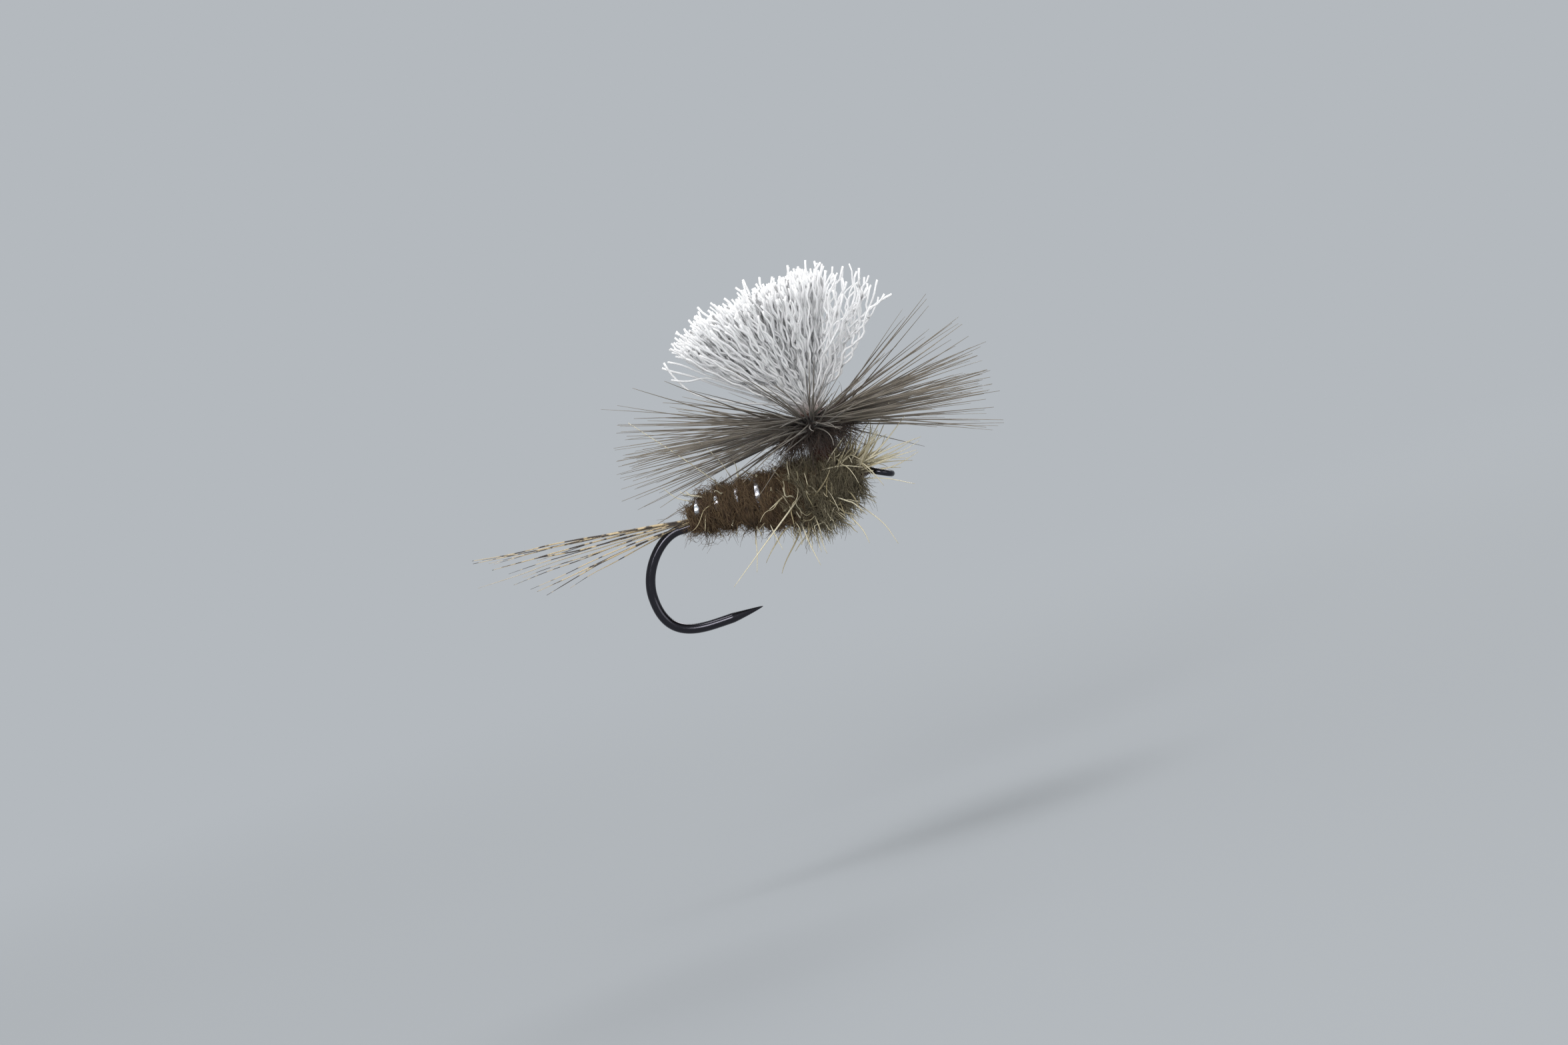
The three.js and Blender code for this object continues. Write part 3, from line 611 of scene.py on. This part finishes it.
def makeRib():
    size = ribTinsel
    low, high = boxMm("rib_tinsel")
    turns = (high[0] - low[0] - size["width"]) / furOutline["ribPitch"]
    steps = int(turns * size["stepsPerTurn"])
    share = np.linspace(0, 1, steps)
    angle = math.radians(size["phase"]) + share * turns * 2 * math.pi
    x = low[0] + size["width"] / 2 + share * turns * furOutline["ribPitch"]
    off = np.min([np.abs((np.degrees(angle) - side + 180) % 360 - 180) for side in size["shows"]], axis=0)
    sunk = easeBetween(size["showsFor"], 2 * size["showsFor"], off)
    sunk = np.maximum(sunk, size["buriedDepth"] * easeBetween(0, size["buriedOver"], x - size["buriedFrom"]))
    radius = furRadius(x) + size["proud"] - size["buried"] * sunk
    path = np.stack([x, radius * np.sin(angle), furMiddle(x) + radius * np.cos(angle)], axis=1)
    along = np.tile([1.0, 0.0, 0.0], (1, steps, 1))
    band = makeTubes("rib_tinsel_band", path[None], size["width"], size["sides"], filmTinsel(),
                     flat=size["thickness"] / size["width"], across=along)
    fitPiece(band, "rib", "rib_tinsel")


makeRib()


# Thorax: longer hare fur, picked out so that it bristles
thorax = dict(
    span=(7.2, 10.35), overlap=0.0,
    layers=[
        dict(name="felted", count=4300, length=(0.6, 1.8), wind=0.6, lift=(0.02, 0.3), sweep=(0.0, 0.35),
             curl=0.2, tuft=8, width=0.032),
        dict(name="spikes", count=3000, length=(0.6, 1.7), wind=0.1, lift=(0.35, 0.95), sweep=(-0.05, 0.4),
             curl=0.22, tuft=6, width=0.036, hang=0.15),
    ])


makeFur("thorax", 41, thorax, furMaterial("oliveHareFur", "#211b12", "#4c4331", "#aba082", 0.8))


# Guard hairs. Stiff hare hair, pale cream to its tip from a dark root, smooth and faintly glossy.
def guardHairMaterial():
    material, tree, shader, along, tint = startMaterial("paleGuardHair", {
        "Base Color": colour("#c4b78f"), "Roughness": 0.42, "IOR": 1.55}, "along", "tint")
    pale = addNode(tree, "Mix", colourMode, {
        0: tint, 6: colour("#948763"), 7: colour("#ddd5ba")}).outputs[2]
    root = addNode(tree, "MapRange", softStep, {"Value": along, "From Min": 0.0, "From Max": 0.35})
    shade = addNode(tree, "Mix", colourMode, {
        0: root.outputs["Result"], 6: colour("#4b3f2a"), 7: pale}).outputs[2]
    tree.links.new(shade, shader.inputs["Base Color"])
    return material


# Bunches: how many, where on the fur, which way round it (0 is up and -90 the near side), how long, how steep
# and how swept. Then single long hairs, each its width and three points along it: root, middle and tip.
guardHairs = dict(
    sides=6, steps=14, tip=0.025, rootWidth=(0.055, 0.1), curl=0.1, tint=(0.1, 1), longTint=0.85,
    bunches=[
        (40, (9.0, 10.4), (-75, 75), (1.0, 2.0), (0.5, 0.95), (0.6, 0.35)),
        (60, (6.4, 9.8), (-220, -60), (0.9, 1.9), (0.6, 0.95), (0.05, 0.45)),
        (34, (6.4, 9.6), (-215, -130), (1.2, 2.0), (0.85, 1.0), (0, 0.45)),
        (26, (8.4, 10.2), (60, 190), (0.9, 1.9), (0.5, 0.9), (0.2, 0.4)),
        (16, (2.0, 7.0), (-90, 60), (0.8, 1.6), (0.5, 0.9), (-0.4, 0.5)),
        (12, (2.0, 7.0), (-220, -120), (0.6, 1.2), (0.5, 0.9), (0, 0.5)),
    ],
    long=[
        (0.055, [(3.9, -0.9, 6.1), (2.3, -1.3, 8.3), (0.3, -1.7, 10.8)]),
        (0.085, [(7.7, -1.6, 5.0), (5.3, -2.3, 3.3), (2.8, -2.9, 1.5)]),
        (0.06, [(4.6, -0.3, 3.7), (4.35, -0.5, 2.6), (4.05, -0.6, 1.7)]),
        (0.085, [(10.0, -0.9, 5.2), (12.1, -1.1, 5.55), (13.9, -1.2, 5.65)]),
        (0.1, [(10.1, -0.8, 5.0), (11.8, -0.9, 5.75), (13.5, -0.9, 6.9)]),
        (0.09, [(10.3, -0.8, 5.0), (12.0, -1.0, 5.1), (13.5, -1.2, 5.1)]),
        (0.08, [(10.2, -0.5, 4.9), (12.1, -0.6, 4.65), (13.55, -0.6, 4.95)]),
        (0.085, [(10.1, -0.7, 5.2), (11.0, -0.8, 5.75), (11.9, -0.8, 6.6)]),
        (0.085, [(9.8, -0.7, 5.2), (10.7, -0.8, 6.0), (11.4, -0.8, 6.75)]),
        (0.075, [(8.8, -0.9, 5.6), (9.5, -1.1, 6.25), (10.3, -1.2, 6.85)]),
        (0.08, [(8.6, -1.3, 5.6), (9.7, -1.4, 5.5), (10.7, -1.4, 5.1)]),
        (0.06, [(10.1, 0.6, 5.9), (11.6, 0.9, 7.0), (12.6, 1.0, 7.9)]),
        (0.06, [(10.3, -0.6, 4.6), (11.6, -0.8, 4.2), (12.9, -1.0, 3.5)]),
        (0.09, [(6.9, -0.9, 3.6), (7.0, -1.2, 2.3), (7.2, -1.3, 1.1)]),
        (0.07, [(5.4, -0.9, 4.0), (5.5, -1.1, 3.2), (5.65, -1.2, 2.4)]),
        (0.08, [(9.2, -0.8, 3.2), (9.7, -1.1, 2.2), (9.85, -1.2, 1.4)]),
        (0.06, [(9.9, -0.4, 3.4), (10.8, -0.6, 2.1), (11.2, -0.7, 0.9)]),
        (0.045, [(2.2, -0.7, 6.0), (1.4, -1.0, 6.5), (0.9, -1.2, 7.2)]),
        (0.04, [(4.3, -0.6, 6.5), (4.0, -0.9, 7.6), (3.3, -1.1, 8.9)]),
    ],
    # the crest over the eye: where its hairs start, their climb and lean in degrees and their lengths
    crest=dict(count=56, start=((9.9, 10.5), (-0.8, 0.6), (4.8, 5.5)), climb=(-12, 95), lean=(-38, 30),
               length=(1.0, 3.2), lowLonger=(1.1, 0.28), bend=0.12, width=(0.065, 0.115)))


def makeGuardHairs():
    size = guardHairs
    rng = np.random.default_rng(51)
    chosen = np.array([smoothPath(points, size["steps"]) for width, points in size["long"]])
    bunches = [furPaths(rng, count, span, length, 0.0, lift, sweep, size["curl"], size["steps"], around)
               for count, span, around, length, lift, sweep in size["bunches"]]
    crest = size["crest"]
    start = np.stack([rng.uniform(*span, crest["count"]) for span in crest["start"]], axis=1)[:, None]
    climb, lean = (np.radians(rng.uniform(*crest[way], crest["count"])) for way in ("climb", "lean"))
    heading = np.stack([np.cos(climb) * np.cos(lean), np.sin(lean), np.sin(climb) * np.cos(lean)], axis=1)
    heading = heading[:, None]
    most, less = crest["lowLonger"]
    length = (rng.uniform(*crest["length"], crest["count"]) * (most - less * climb))[:, None, None]
    share = np.linspace(0, 1, size["steps"])[None, :, None]
    bend = rng.normal(0, crest["bend"], (crest["count"], 1, 3)) * share ** 2
    bunches.append(start + length * share * (heading + bend))
    scattered = np.concatenate(bunches)
    paths = np.concatenate([chosen, scattered])
    roots = rng.uniform(*size["rootWidth"], len(scattered))
    roots[-crest["count"]:] = rng.uniform(*crest["width"], crest["count"])
    roots = np.concatenate([[width for width, points in size["long"]], roots])[:, None]
    along = np.linspace(0, 1, size["steps"])
    width = size["tip"] + (roots - size["tip"]) * (1 - along ** 2)
    tints = rng.uniform(*size["tint"], len(scattered))
    tints = np.concatenate([np.full(len(chosen), size["longTint"]), tints])
    hairs = makeTubes("thorax_guard_hairs", paths, width, size["sides"], guardHairMaterial(), tints)
    fitPiece(hairs, "guard_hair", *nodesCalled("thorax_guard_hair"))


makeGuardHairs()


# Wing. Crimped polypropylene yarn, melt-spun and dyed white: chalky, slightly waxy filaments.
def crimpedYarn():
    material, tree, shader, along, tint = startMaterial("whitePolypropyleneYarn", {
        "Base Color": colour("#f6f7f8"), "Roughness": 0.5, "IOR": 1.49, "Sheen Weight": 0.2,
        "Subsurface Weight": 0.7, "Subsurface Scale": 0.8 * mm, "Subsurface Radius": (1.0, 1.0, 1.0)
    }, "along", "tint")
    # thread wax has stained the foot of the yarn
    foot = addNode(tree, "MapRange", softStep, {"Value": along, "From Min": 0.04, "From Max": 0.2})
    white = addNode(tree, "Mix", colourMode, {
        0: tint, 6: colour("#f1f2f4"), 7: colour("#fbfbfc")}).outputs[2]
    shade = addNode(tree, "Mix", colourMode, {
        0: foot.outputs["Result"], 6: colour("#b9a198"), 7: white}).outputs[2]
    tree.links.new(shade, shader.inputs["Base Color"])
    return material


# Angles are in degrees from upright, and minus is to the tail. Waves are in mm of filament.
wingYarn = dict(
    filaments=1000, width=0.112, widthVaries=(0.85, 1.1), sides=4, steps=25, inPost=0.5, postFill=0.5,
    dense=(-48.5, 21), sparse=(21, 49), denseShare=0.965, depth=12.0, deepest=30,
    lengthAt=[(-56, 6.7), (-46, 7.1), (-34, 6.85), (-18, 6.35), (0, 6.33), (12, 6.58), (23, 6.88),
              (40, 6.85), (54, 6.5)],
    ragged=0.042, opens=(0.15, 1.15), flare=(1.14, 0.24), drift=3.0, crimpFrom=(0.5, 3.0), kink=(0.25, 2.7),
    crimpWave=(1.0, 2.3), crimpDepth=(0.03, 0.13), sparseWave=(1.9, 3.4), sparseDepth=(0.1, 0.26),
    # strays: how each waves, and the way each lies, point by point, from the foot of the wing
    strayWaves=2.5, strayDepth=0.07,
    strays=[
        [(-1.2, -0.3, 0.6), (-2.5, -0.5, 1.15), (-4.9, -0.6, 2.25), (-5.9, -0.6, 3.6), (-6.2, -0.6, 4.4)],
        [(-1.8, 0.2, 1.0), (-3.6, 0.4, 2.3), (-5.2, 0.5, 3.4), (-6.4, 0.5, 4.3)],
        [(-2.0, -0.4, 1.4), (-4.1, -0.8, 2.9), (-5.2, -0.9, 3.2), (-6.1, -0.9, 3.6)],
        [(-2.0, -0.3, 1.4), (-4.0, -0.6, 3.0), (-5.1, -0.7, 3.85), (-6.0, -0.7, 4.4)],
        [(1.0, -0.3, 0.9), (1.9, -0.4, 1.7), (3.2, -0.5, 2.3), (3.75, -0.6, 3.6), (4.5, -0.6, 5.9)],
        [(1.2, -0.2, 1.3), (2.2, -0.3, 2.5), (3.1, -0.4, 3.25), (4.5, -0.4, 3.9), (5.65, -0.5, 4.15)],
        [(1.3, 0.1, 1.6), (2.5, 0.2, 2.9), (3.9, 0.3, 3.6), (4.7, 0.3, 4.3), (5.2, 0.3, 5.05)],
    ])


def makeWing():
    size = wingYarn
    rng = np.random.default_rng(61)
    count, steps = size["filaments"], size["steps"]
    isDense = rng.random(count) < size["denseShare"]
    fan = np.where(isDense, rng.uniform(*size["dense"], count), rng.uniform(*size["sparse"], count))
    depth = np.clip(rng.normal(0, size["depth"], count), -size["deepest"], size["deepest"])
    length = np.interp(fan, *zip(*size["lengthAt"])) * rng.normal(1, size["ragged"], count)
    length = length + size["inPost"]
    distance = length[:, None] * np.linspace(0, 1, steps)
    share = np.linspace(0, 1, steps)[None]
    # a filament leaves the binding upright, flares past its line and then straightens towards its tip
    flared, straightened = size["flare"]
    opening = easeBetween(*size["opens"], distance) * (flared - straightened * share)
    drift = rng.normal(0, size["drift"], (count, 1)) * share ** 2
    lean = np.radians(fan[:, None] * opening + drift)
    aside = np.radians(depth[:, None] * opening + rng.normal(0, size["drift"], (count, 1)) * share ** 2)
    heading = np.stack([np.sin(lean) * np.cos(aside), np.sin(aside), np.cos(lean) * np.cos(aside)], axis=2)
    moves = heading * (length / (steps - 1))[:, None, None]
    around = rng.uniform(0, 2 * math.pi, count)
    spread = size["postFill"] * np.sqrt(rng.random(count))
    foot = np.stack([postX + spread * np.cos(around), spread * np.sin(around),
                     np.full(count, wingBase - size["inPost"])], axis=1)
    paths = foot[:, None] + np.cumsum(moves, axis=1) - moves[:, :1]
    # crimp, in two directions across each filament
    ramp = easeBetween(*size["crimpFrom"], distance)
    inFan = np.stack([np.cos(lean), 0 * lean, -np.sin(lean)], axis=2)
    for way in (inFan, np.array([0.0, 1.0, 0.0])):
        pitch, swing = (np.where(isDense, rng.uniform(*size["crimp" + kind], count),
                                 rng.uniform(*size["sparse" + kind], count)) for kind in ("Wave", "Depth"))
        wave = 2 * math.pi * distance / pitch[:, None] + rng.uniform(0, 6.3, (count, 1))
        kinkDepth, kinkWaves = size["kink"]
        crimp = swing[:, None] * ramp * (np.sin(wave) + kinkDepth * np.sin(kinkWaves * wave))
        paths = paths + crimp[..., None] * way
    strays = []
    for points in size["strays"]:
        stray = smoothPath(np.array([(0, 0, 0), *points]) + [postX, 0, wingBase], steps)
        wave = np.linspace(0, 2 * size["strayWaves"] * math.pi, steps)
        stray[:, 2] += size["strayDepth"] * np.sin(wave + rng.uniform(0, 6)) * np.linspace(0, 1, steps)
        strays.append(stray)
    paths = np.concatenate([paths, strays])
    tints = rng.uniform(0, 1, len(paths))
    width = size["width"] * rng.uniform(*size["widthVaries"], (len(paths), 1)) * np.ones(steps)
    wing = makeTubes("wing_yarn_filaments", paths, width, size["sides"], crimpedYarn(), tints)
    fitPiece(wing, "wing_yarn", "wing_yarn")


makeWing()


# Hackle. Cock feather, brown dun: stiff glossy keratin, dark at the quill, thinner and paler to the tip.
# The paler tips are partly the feather's own colour and partly painted light, for light shining through them.
# The web at the foot of the barbs is the same feather, but soft, dull and redder.
def dunHackle(name, foot, dark, pale, tipColourAndPaintedLight, roughness):
    material, tree, shader, along, tint = startMaterial(name, {
        "Base Color": colour(dark), "Roughness": roughness, "IOR": 1.55, "Sheen Weight": 0.15
    }, "along", "tint")
    root = addNode(tree, "MapRange", softStep, {"Value": along, "From Min": 0.02, "From Max": 0.22})
    barb = addNode(tree, "Mix", colourMode, {0: tint, 6: colour(dark), 7: colour(pale)}).outputs[2]
    shade = addNode(tree, "Mix", colourMode, {
        0: root.outputs["Result"], 6: colour(foot), 7: barb}).outputs[2]
    # the barbs pale towards their tips: partly the feather's own colour, partly painted light standing in for
    # light that shines through the thin tips
    tip = addNode(tree, "MapRange", {}, {
        "Value": along, "From Min": 0.4, "From Max": 1.0, "To Min": 0.0, "To Max": 0.5})
    shade = addNode(tree, "Mix", colourMode, {
        0: tip.outputs["Result"], 6: shade, 7: colour(tipColourAndPaintedLight)}).outputs[2]
    tree.links.new(shade, shader.inputs["Base Color"])
    return material


# The stripped quill is solid keratin, dark red-brown and shiny where the turns catch the light
def hackleQuill():
    material, tree, shader = startMaterial("hackleQuillKeratin", {
        "Base Color": colour("#34201a"), "Roughness": 0.28, "IOR": 1.55,
        "Coat Weight": 0.3, "Coat Roughness": 0.1})
    place = addNode(tree, "TexCoord").outputs["Object"]
    # growth streaks about 0.2 mm long
    streaks = addNode(tree, "TexNoise", {}, {"Vector": place, "Scale": 1 / (0.2 * mm), "Detail": 3.0})
    shade = addNode(tree, "Mix", colourMode, {
        0: streaks.outputs["Fac"], 6: colour("#24150f"), 7: colour("#4a3226")}).outputs[2]
    tree.links.new(shade, shader.inputs["Base Color"])
    return material


# lean is how the whole collar tips down to the eye. Barbs on the near and far sides, past beside, climb no
# less than nearest. high is for barbs that stand well above the rest: each group has its share of the barbs,
# the directions it fills (0 to the eye, -90 the near side) and how steep it is.
hackle = dict(
    barbs=330, root=0.1, tip=0.02, taperPower=1.1, widthVaries=(0.75, 1.15), sides=5, steps=16, length=9.5,
    ragged=0.035, rearLonger=0.045, bend=0.05, goldenTurn=2.399963, uneven=0.05, rimMargin=0.15,
    quillWidth=0.2, quillTurns=3.5, quillSides=8, quillThins=0.6, quillSteps=30,
    lean=5.2, lift=2.7, spread=(7.0, 9.0), levelLift=8, sweep=11, sweepVaries=4, beside=0.88, nearest=-3,
    high=[(0.03, (-60, 50), (16, 31)), (0.024, (-120, -90), (14, 27)), (0.045, (110, 250), (14, 27))],
    web=2100, webLength=(0.9, 3.3), webWidth=0.034, webClimb=-26, webSpread=28, webLimits=(-75, 20),
    webLevel=(-0.4, 1), webBend=0.45, webThins=0.6, webSides=3, webSteps=10)
quillRing = (quillHigh[0] - quillLow[0]) / 2 - hackle["quillWidth"] / 2


# Barbs that leave the quill at given directions and climbs, all angles in radians
def barbPaths(rng, around, climb, level, length, steps, bend):
    size = hackle
    count = len(around)
    share = np.linspace(0, 1, steps)[None]
    stride = (length - quillRing) / (steps - 1)
    pointing = around + np.radians(rng.normal(size["sweep"], size["sweepVaries"], (count, 1)))
    pointing = pointing + rng.normal(-0.03, bend, (count, 1)) * share
    rise = climb + rng.normal(-0.02, bend, (count, 1)) * share
    outward = (np.cumsum(np.cos(rise), axis=1) - np.cos(rise)[:, :1]) * stride
    upward = (np.cumsum(np.sin(rise), axis=1) - np.sin(rise)[:, :1]) * stride
    x = postX + quillRing * np.cos(around) + outward * np.cos(pointing)
    y = quillRing * np.sin(around) + outward * np.sin(pointing)
    margin = size["rimMargin"]
    z = quillLow[2] + margin + level * (quillHigh[2] - quillLow[2] - 2 * margin) + upward
    return np.stack([x, y, z], axis=2)


def makeHackle():
    size = hackle
    rng = np.random.default_rng(71)
    dun = dunHackle("brownDunHackle", "#2a1a14", "#382f27", "#81786a", "#8c8272", 0.36)
    down = dunHackle("webbyHackleDown", "#24160f", "#34241a", "#5d4a3a", "#54443a", 0.7)
    quillSteps = int(size["quillTurns"] * size["quillSteps"])
    turn = np.linspace(0, size["quillTurns"] * 2 * math.pi, quillSteps)
    height = np.linspace(quillLow[2], quillHigh[2], quillSteps)
    height = np.clip(height, quillLow[2] + size["quillWidth"] / 2, quillHigh[2] - size["quillWidth"] / 2)
    quill = np.stack([postX + quillRing * np.cos(turn), quillRing * np.sin(turn), height], axis=1)
    thinning = np.linspace(size["quillWidth"], size["quillThins"] * size["quillWidth"], quillSteps)
    stem = makeTubes("hackle_quill_turns", quill[None], thinning[None], size["quillSides"], hackleQuill())
    fitPiece(stem, "hackle", "hackle_quill")

    count = size["barbs"]
    around = (np.arange(count) * size["goldenTurn"] + rng.normal(0, size["uneven"], count))[:, None]
    level = rng.random((count, 1))
    spread = np.where(np.cos(around) > 0, *size["spread"])
    climb = size["lift"] - size["lean"] * np.cos(around) + spread * rng.normal(0, 1, (count, 1))
    climb = climb + size["levelLift"] * (level - 0.5)
    sideways = np.abs(np.sin(around)) > size["beside"]
    climb = np.where(sideways, np.maximum(climb, size["nearest"]), climb)
    first = 0
    for part, directions, steepness in size["high"]:
        last = first + int(part * count)
        around[first:last, 0] = np.radians(rng.uniform(*directions, last - first))
        climb[first:last, 0] = rng.uniform(*steepness, last - first)
        first = last
    length = size["length"] * (1 - size["rearLonger"] * np.cos(around))
    length = length * rng.normal(1, size["ragged"], (count, 1))
    paths = barbPaths(rng, around, np.radians(climb), level, length, size["steps"], size["bend"])
    share = np.linspace(0, 1, size["steps"])[None]
    width = size["tip"] + (size["root"] - size["tip"]) * (1 - share ** size["taperPower"])
    width = width * rng.uniform(*size["widthVaries"], (count, 1))
    barbs = makeTubes("hackle_barbs", paths, width, size["sides"], dun, rng.beta(1.5, 1.6, count))
    fitPiece(barbs, "hackle", *nodesCalled("hackle_barb"))

    # the soft web at the foot of the barbs, which fills the space round the post
    count = size["web"]
    around = rng.uniform(0, 2 * math.pi, (count, 1))
    climb = rng.normal(size["webClimb"], size["webSpread"], (count, 1))
    climb = np.radians(np.clip(climb, *size["webLimits"]))
    length = rng.uniform(*size["webLength"], (count, 1))
    level = rng.uniform(*size["webLevel"], (count, 1))
    paths = barbPaths(rng, around, climb, level, length, size["webSteps"], size["webBend"])
    share = np.linspace(0, 1, size["webSteps"])[None]
    width = size["webWidth"] * (1 - size["webThins"] * share) * np.ones((count, 1))
    web = makeTubes("hackle_web", paths, width, size["webSides"], down, rng.beta(1.2, 2.4, count))
    fitPiece(web, "hackle")


makeHackle()


# Studio: a wide pale floor that fades into a backdrop of the same tone, soft lamps and a level camera
studio = dict(
    tone="#b4b9be", paper="#979b9f", floorZ=-14.0, floorRadius=700.0, floorCorners=96,
    fadeFrom=60.0, fadeTo=190.0,
    worldStrength=0.66, cameraTilt=18.0, cameraLift=3.0, lens=100.0, sensor=36.0, clipStart=2.0,
    frameWidth=78.4, aim=(6.09, 0.0, 3.63))

# Each lamp: where it stands in mm from the aim, its size in mm and its power in watts
lamps = dict(
    key=((-80, -400, 170), 190, 1.0),
    top=((-60, -80, 420), 150, 0.65),
    fill=((270, -330, 40), 260, 0.3),
    rim=((140, 300, 230), 200, 0.78))


# 1 for what the camera sees, straight or in a mirror or glass, and 0 for the light that falls on things
def rayIsSeen(tree):
    path = addNode(tree, "LightPath")
    seen = path.outputs["Is Camera Ray"]
    for other in ("Is Glossy Ray", "Is Transmission Ray"):
        seen = addNode(tree, "Math", {"operation": "MAXIMUM"}, {0: seen, 1: path.outputs[other]}).outputs[0]
    return seen


def seamlessTone():
    material = bpy.data.materials.new("paleSeamlessPaper")
    material.use_nodes = True
    tree = material.node_tree
    tree.nodes.clear()
    place = addNode(tree, "TexCoord").outputs["Object"]
    distance = addNode(tree, "VectorMath", {"operation": "LENGTH"}, {0: place}).outputs["Value"]
    fade = addNode(tree, "MapRange", softStep, {
        "Value": distance, "From Min": studio["fadeFrom"] * mm, "From Max": studio["fadeTo"] * mm})
    paper = addNode(tree, "BsdfDiffuse", {}, {"Color": colour(studio["paper"])})
    glow = addNode(tree, "Emission", {}, {"Color": colour(studio["tone"]), "Strength": 1.0})
    # the glow is only seen: it puts no light on the fly
    glowing = addNode(tree, "Math", {"operation": "MULTIPLY"}, {
        0: fade.outputs["Result"], 1: rayIsSeen(tree)})
    mix = addNode(tree, "MixShader", {}, {0: glowing.outputs[0], 1: paper.outputs[0], 2: glow.outputs[0]})
    addNode(tree, "OutputMaterial", {}, {"Surface": mix.outputs[0]})
    return material


def makeStudio():
    size = studio
    aim = Vector(size["aim"]) * mm
    turn = np.linspace(0, 2 * math.pi, size["floorCorners"], endpoint=False)
    rim = np.stack([np.cos(turn), np.sin(turn), 0 * turn], axis=1) * size["floorRadius"] * mm
    mesh = bpy.data.meshes.new("floor")
    mesh.from_pydata(rim.tolist(), [], [list(range(size["floorCorners"]))])
    mesh.materials.append(seamlessTone())
    floor = bpy.data.objects.new("floor", mesh)
    floor.location = (aim.x, 0, size["floorZ"] * mm)
    sceneRoot.collection.objects.link(floor)

    for name, (place, width, power) in lamps.items():
        lamp = bpy.data.lights.new(name + "Lamp", "AREA")
        lamp.size = width * mm
        lamp.energy = power
        stand = bpy.data.objects.new(name + "Lamp", lamp)
        stand.location = aim + Vector(place) * mm
        stand.rotation_euler = (aim - stand.location).to_track_quat("-Z", "Y").to_euler()
        sceneRoot.collection.objects.link(stand)

    world = bpy.data.worlds.new("softStudio")
    sceneRoot.world = world
    world.use_nodes = True
    tree = world.node_tree
    tree.nodes.clear()
    soft = addNode(tree, "Background", {}, {"Color": colour("#ffffff"), "Strength": size["worldStrength"]})
    seen = addNode(tree, "Background", {}, {"Color": colour(size["tone"]), "Strength": 1.0})
    mix = addNode(tree, "MixShader", {}, {0: rayIsSeen(tree), 1: soft.outputs[0], 2: seen.outputs[0]})
    addNode(tree, "OutputWorld", {}, {"Surface": mix.outputs[0]})

    lens = bpy.data.cameras.new("studioCamera")
    lens.lens = size["lens"]
    lens.sensor_width = size["sensor"]
    lens.clip_start = size["clipStart"] * mm
    camera = bpy.data.objects.new("studioCamera", lens)
    sceneRoot.collection.objects.link(camera)
    tilt, lift = math.radians(size["cameraTilt"]), math.radians(size["cameraLift"])
    across = Vector((math.cos(tilt), 0, -math.sin(tilt)))
    upright = Vector((math.sin(tilt), 0, math.cos(tilt)))
    back = Vector((0, -math.cos(lift), 0)) + upright * math.sin(lift)
    above = across.cross(back) * -1
    distance = size["frameWidth"] * size["lens"] / size["sensor"] * mm
    turned = Matrix((across, above, back)).transposed().to_4x4()
    camera.matrix_world = Matrix.Translation(aim + back * distance) @ turned
    sceneRoot.camera = camera
    sceneRoot.view_settings.view_transform = "Standard"


makeStudio()
print("studio ready")
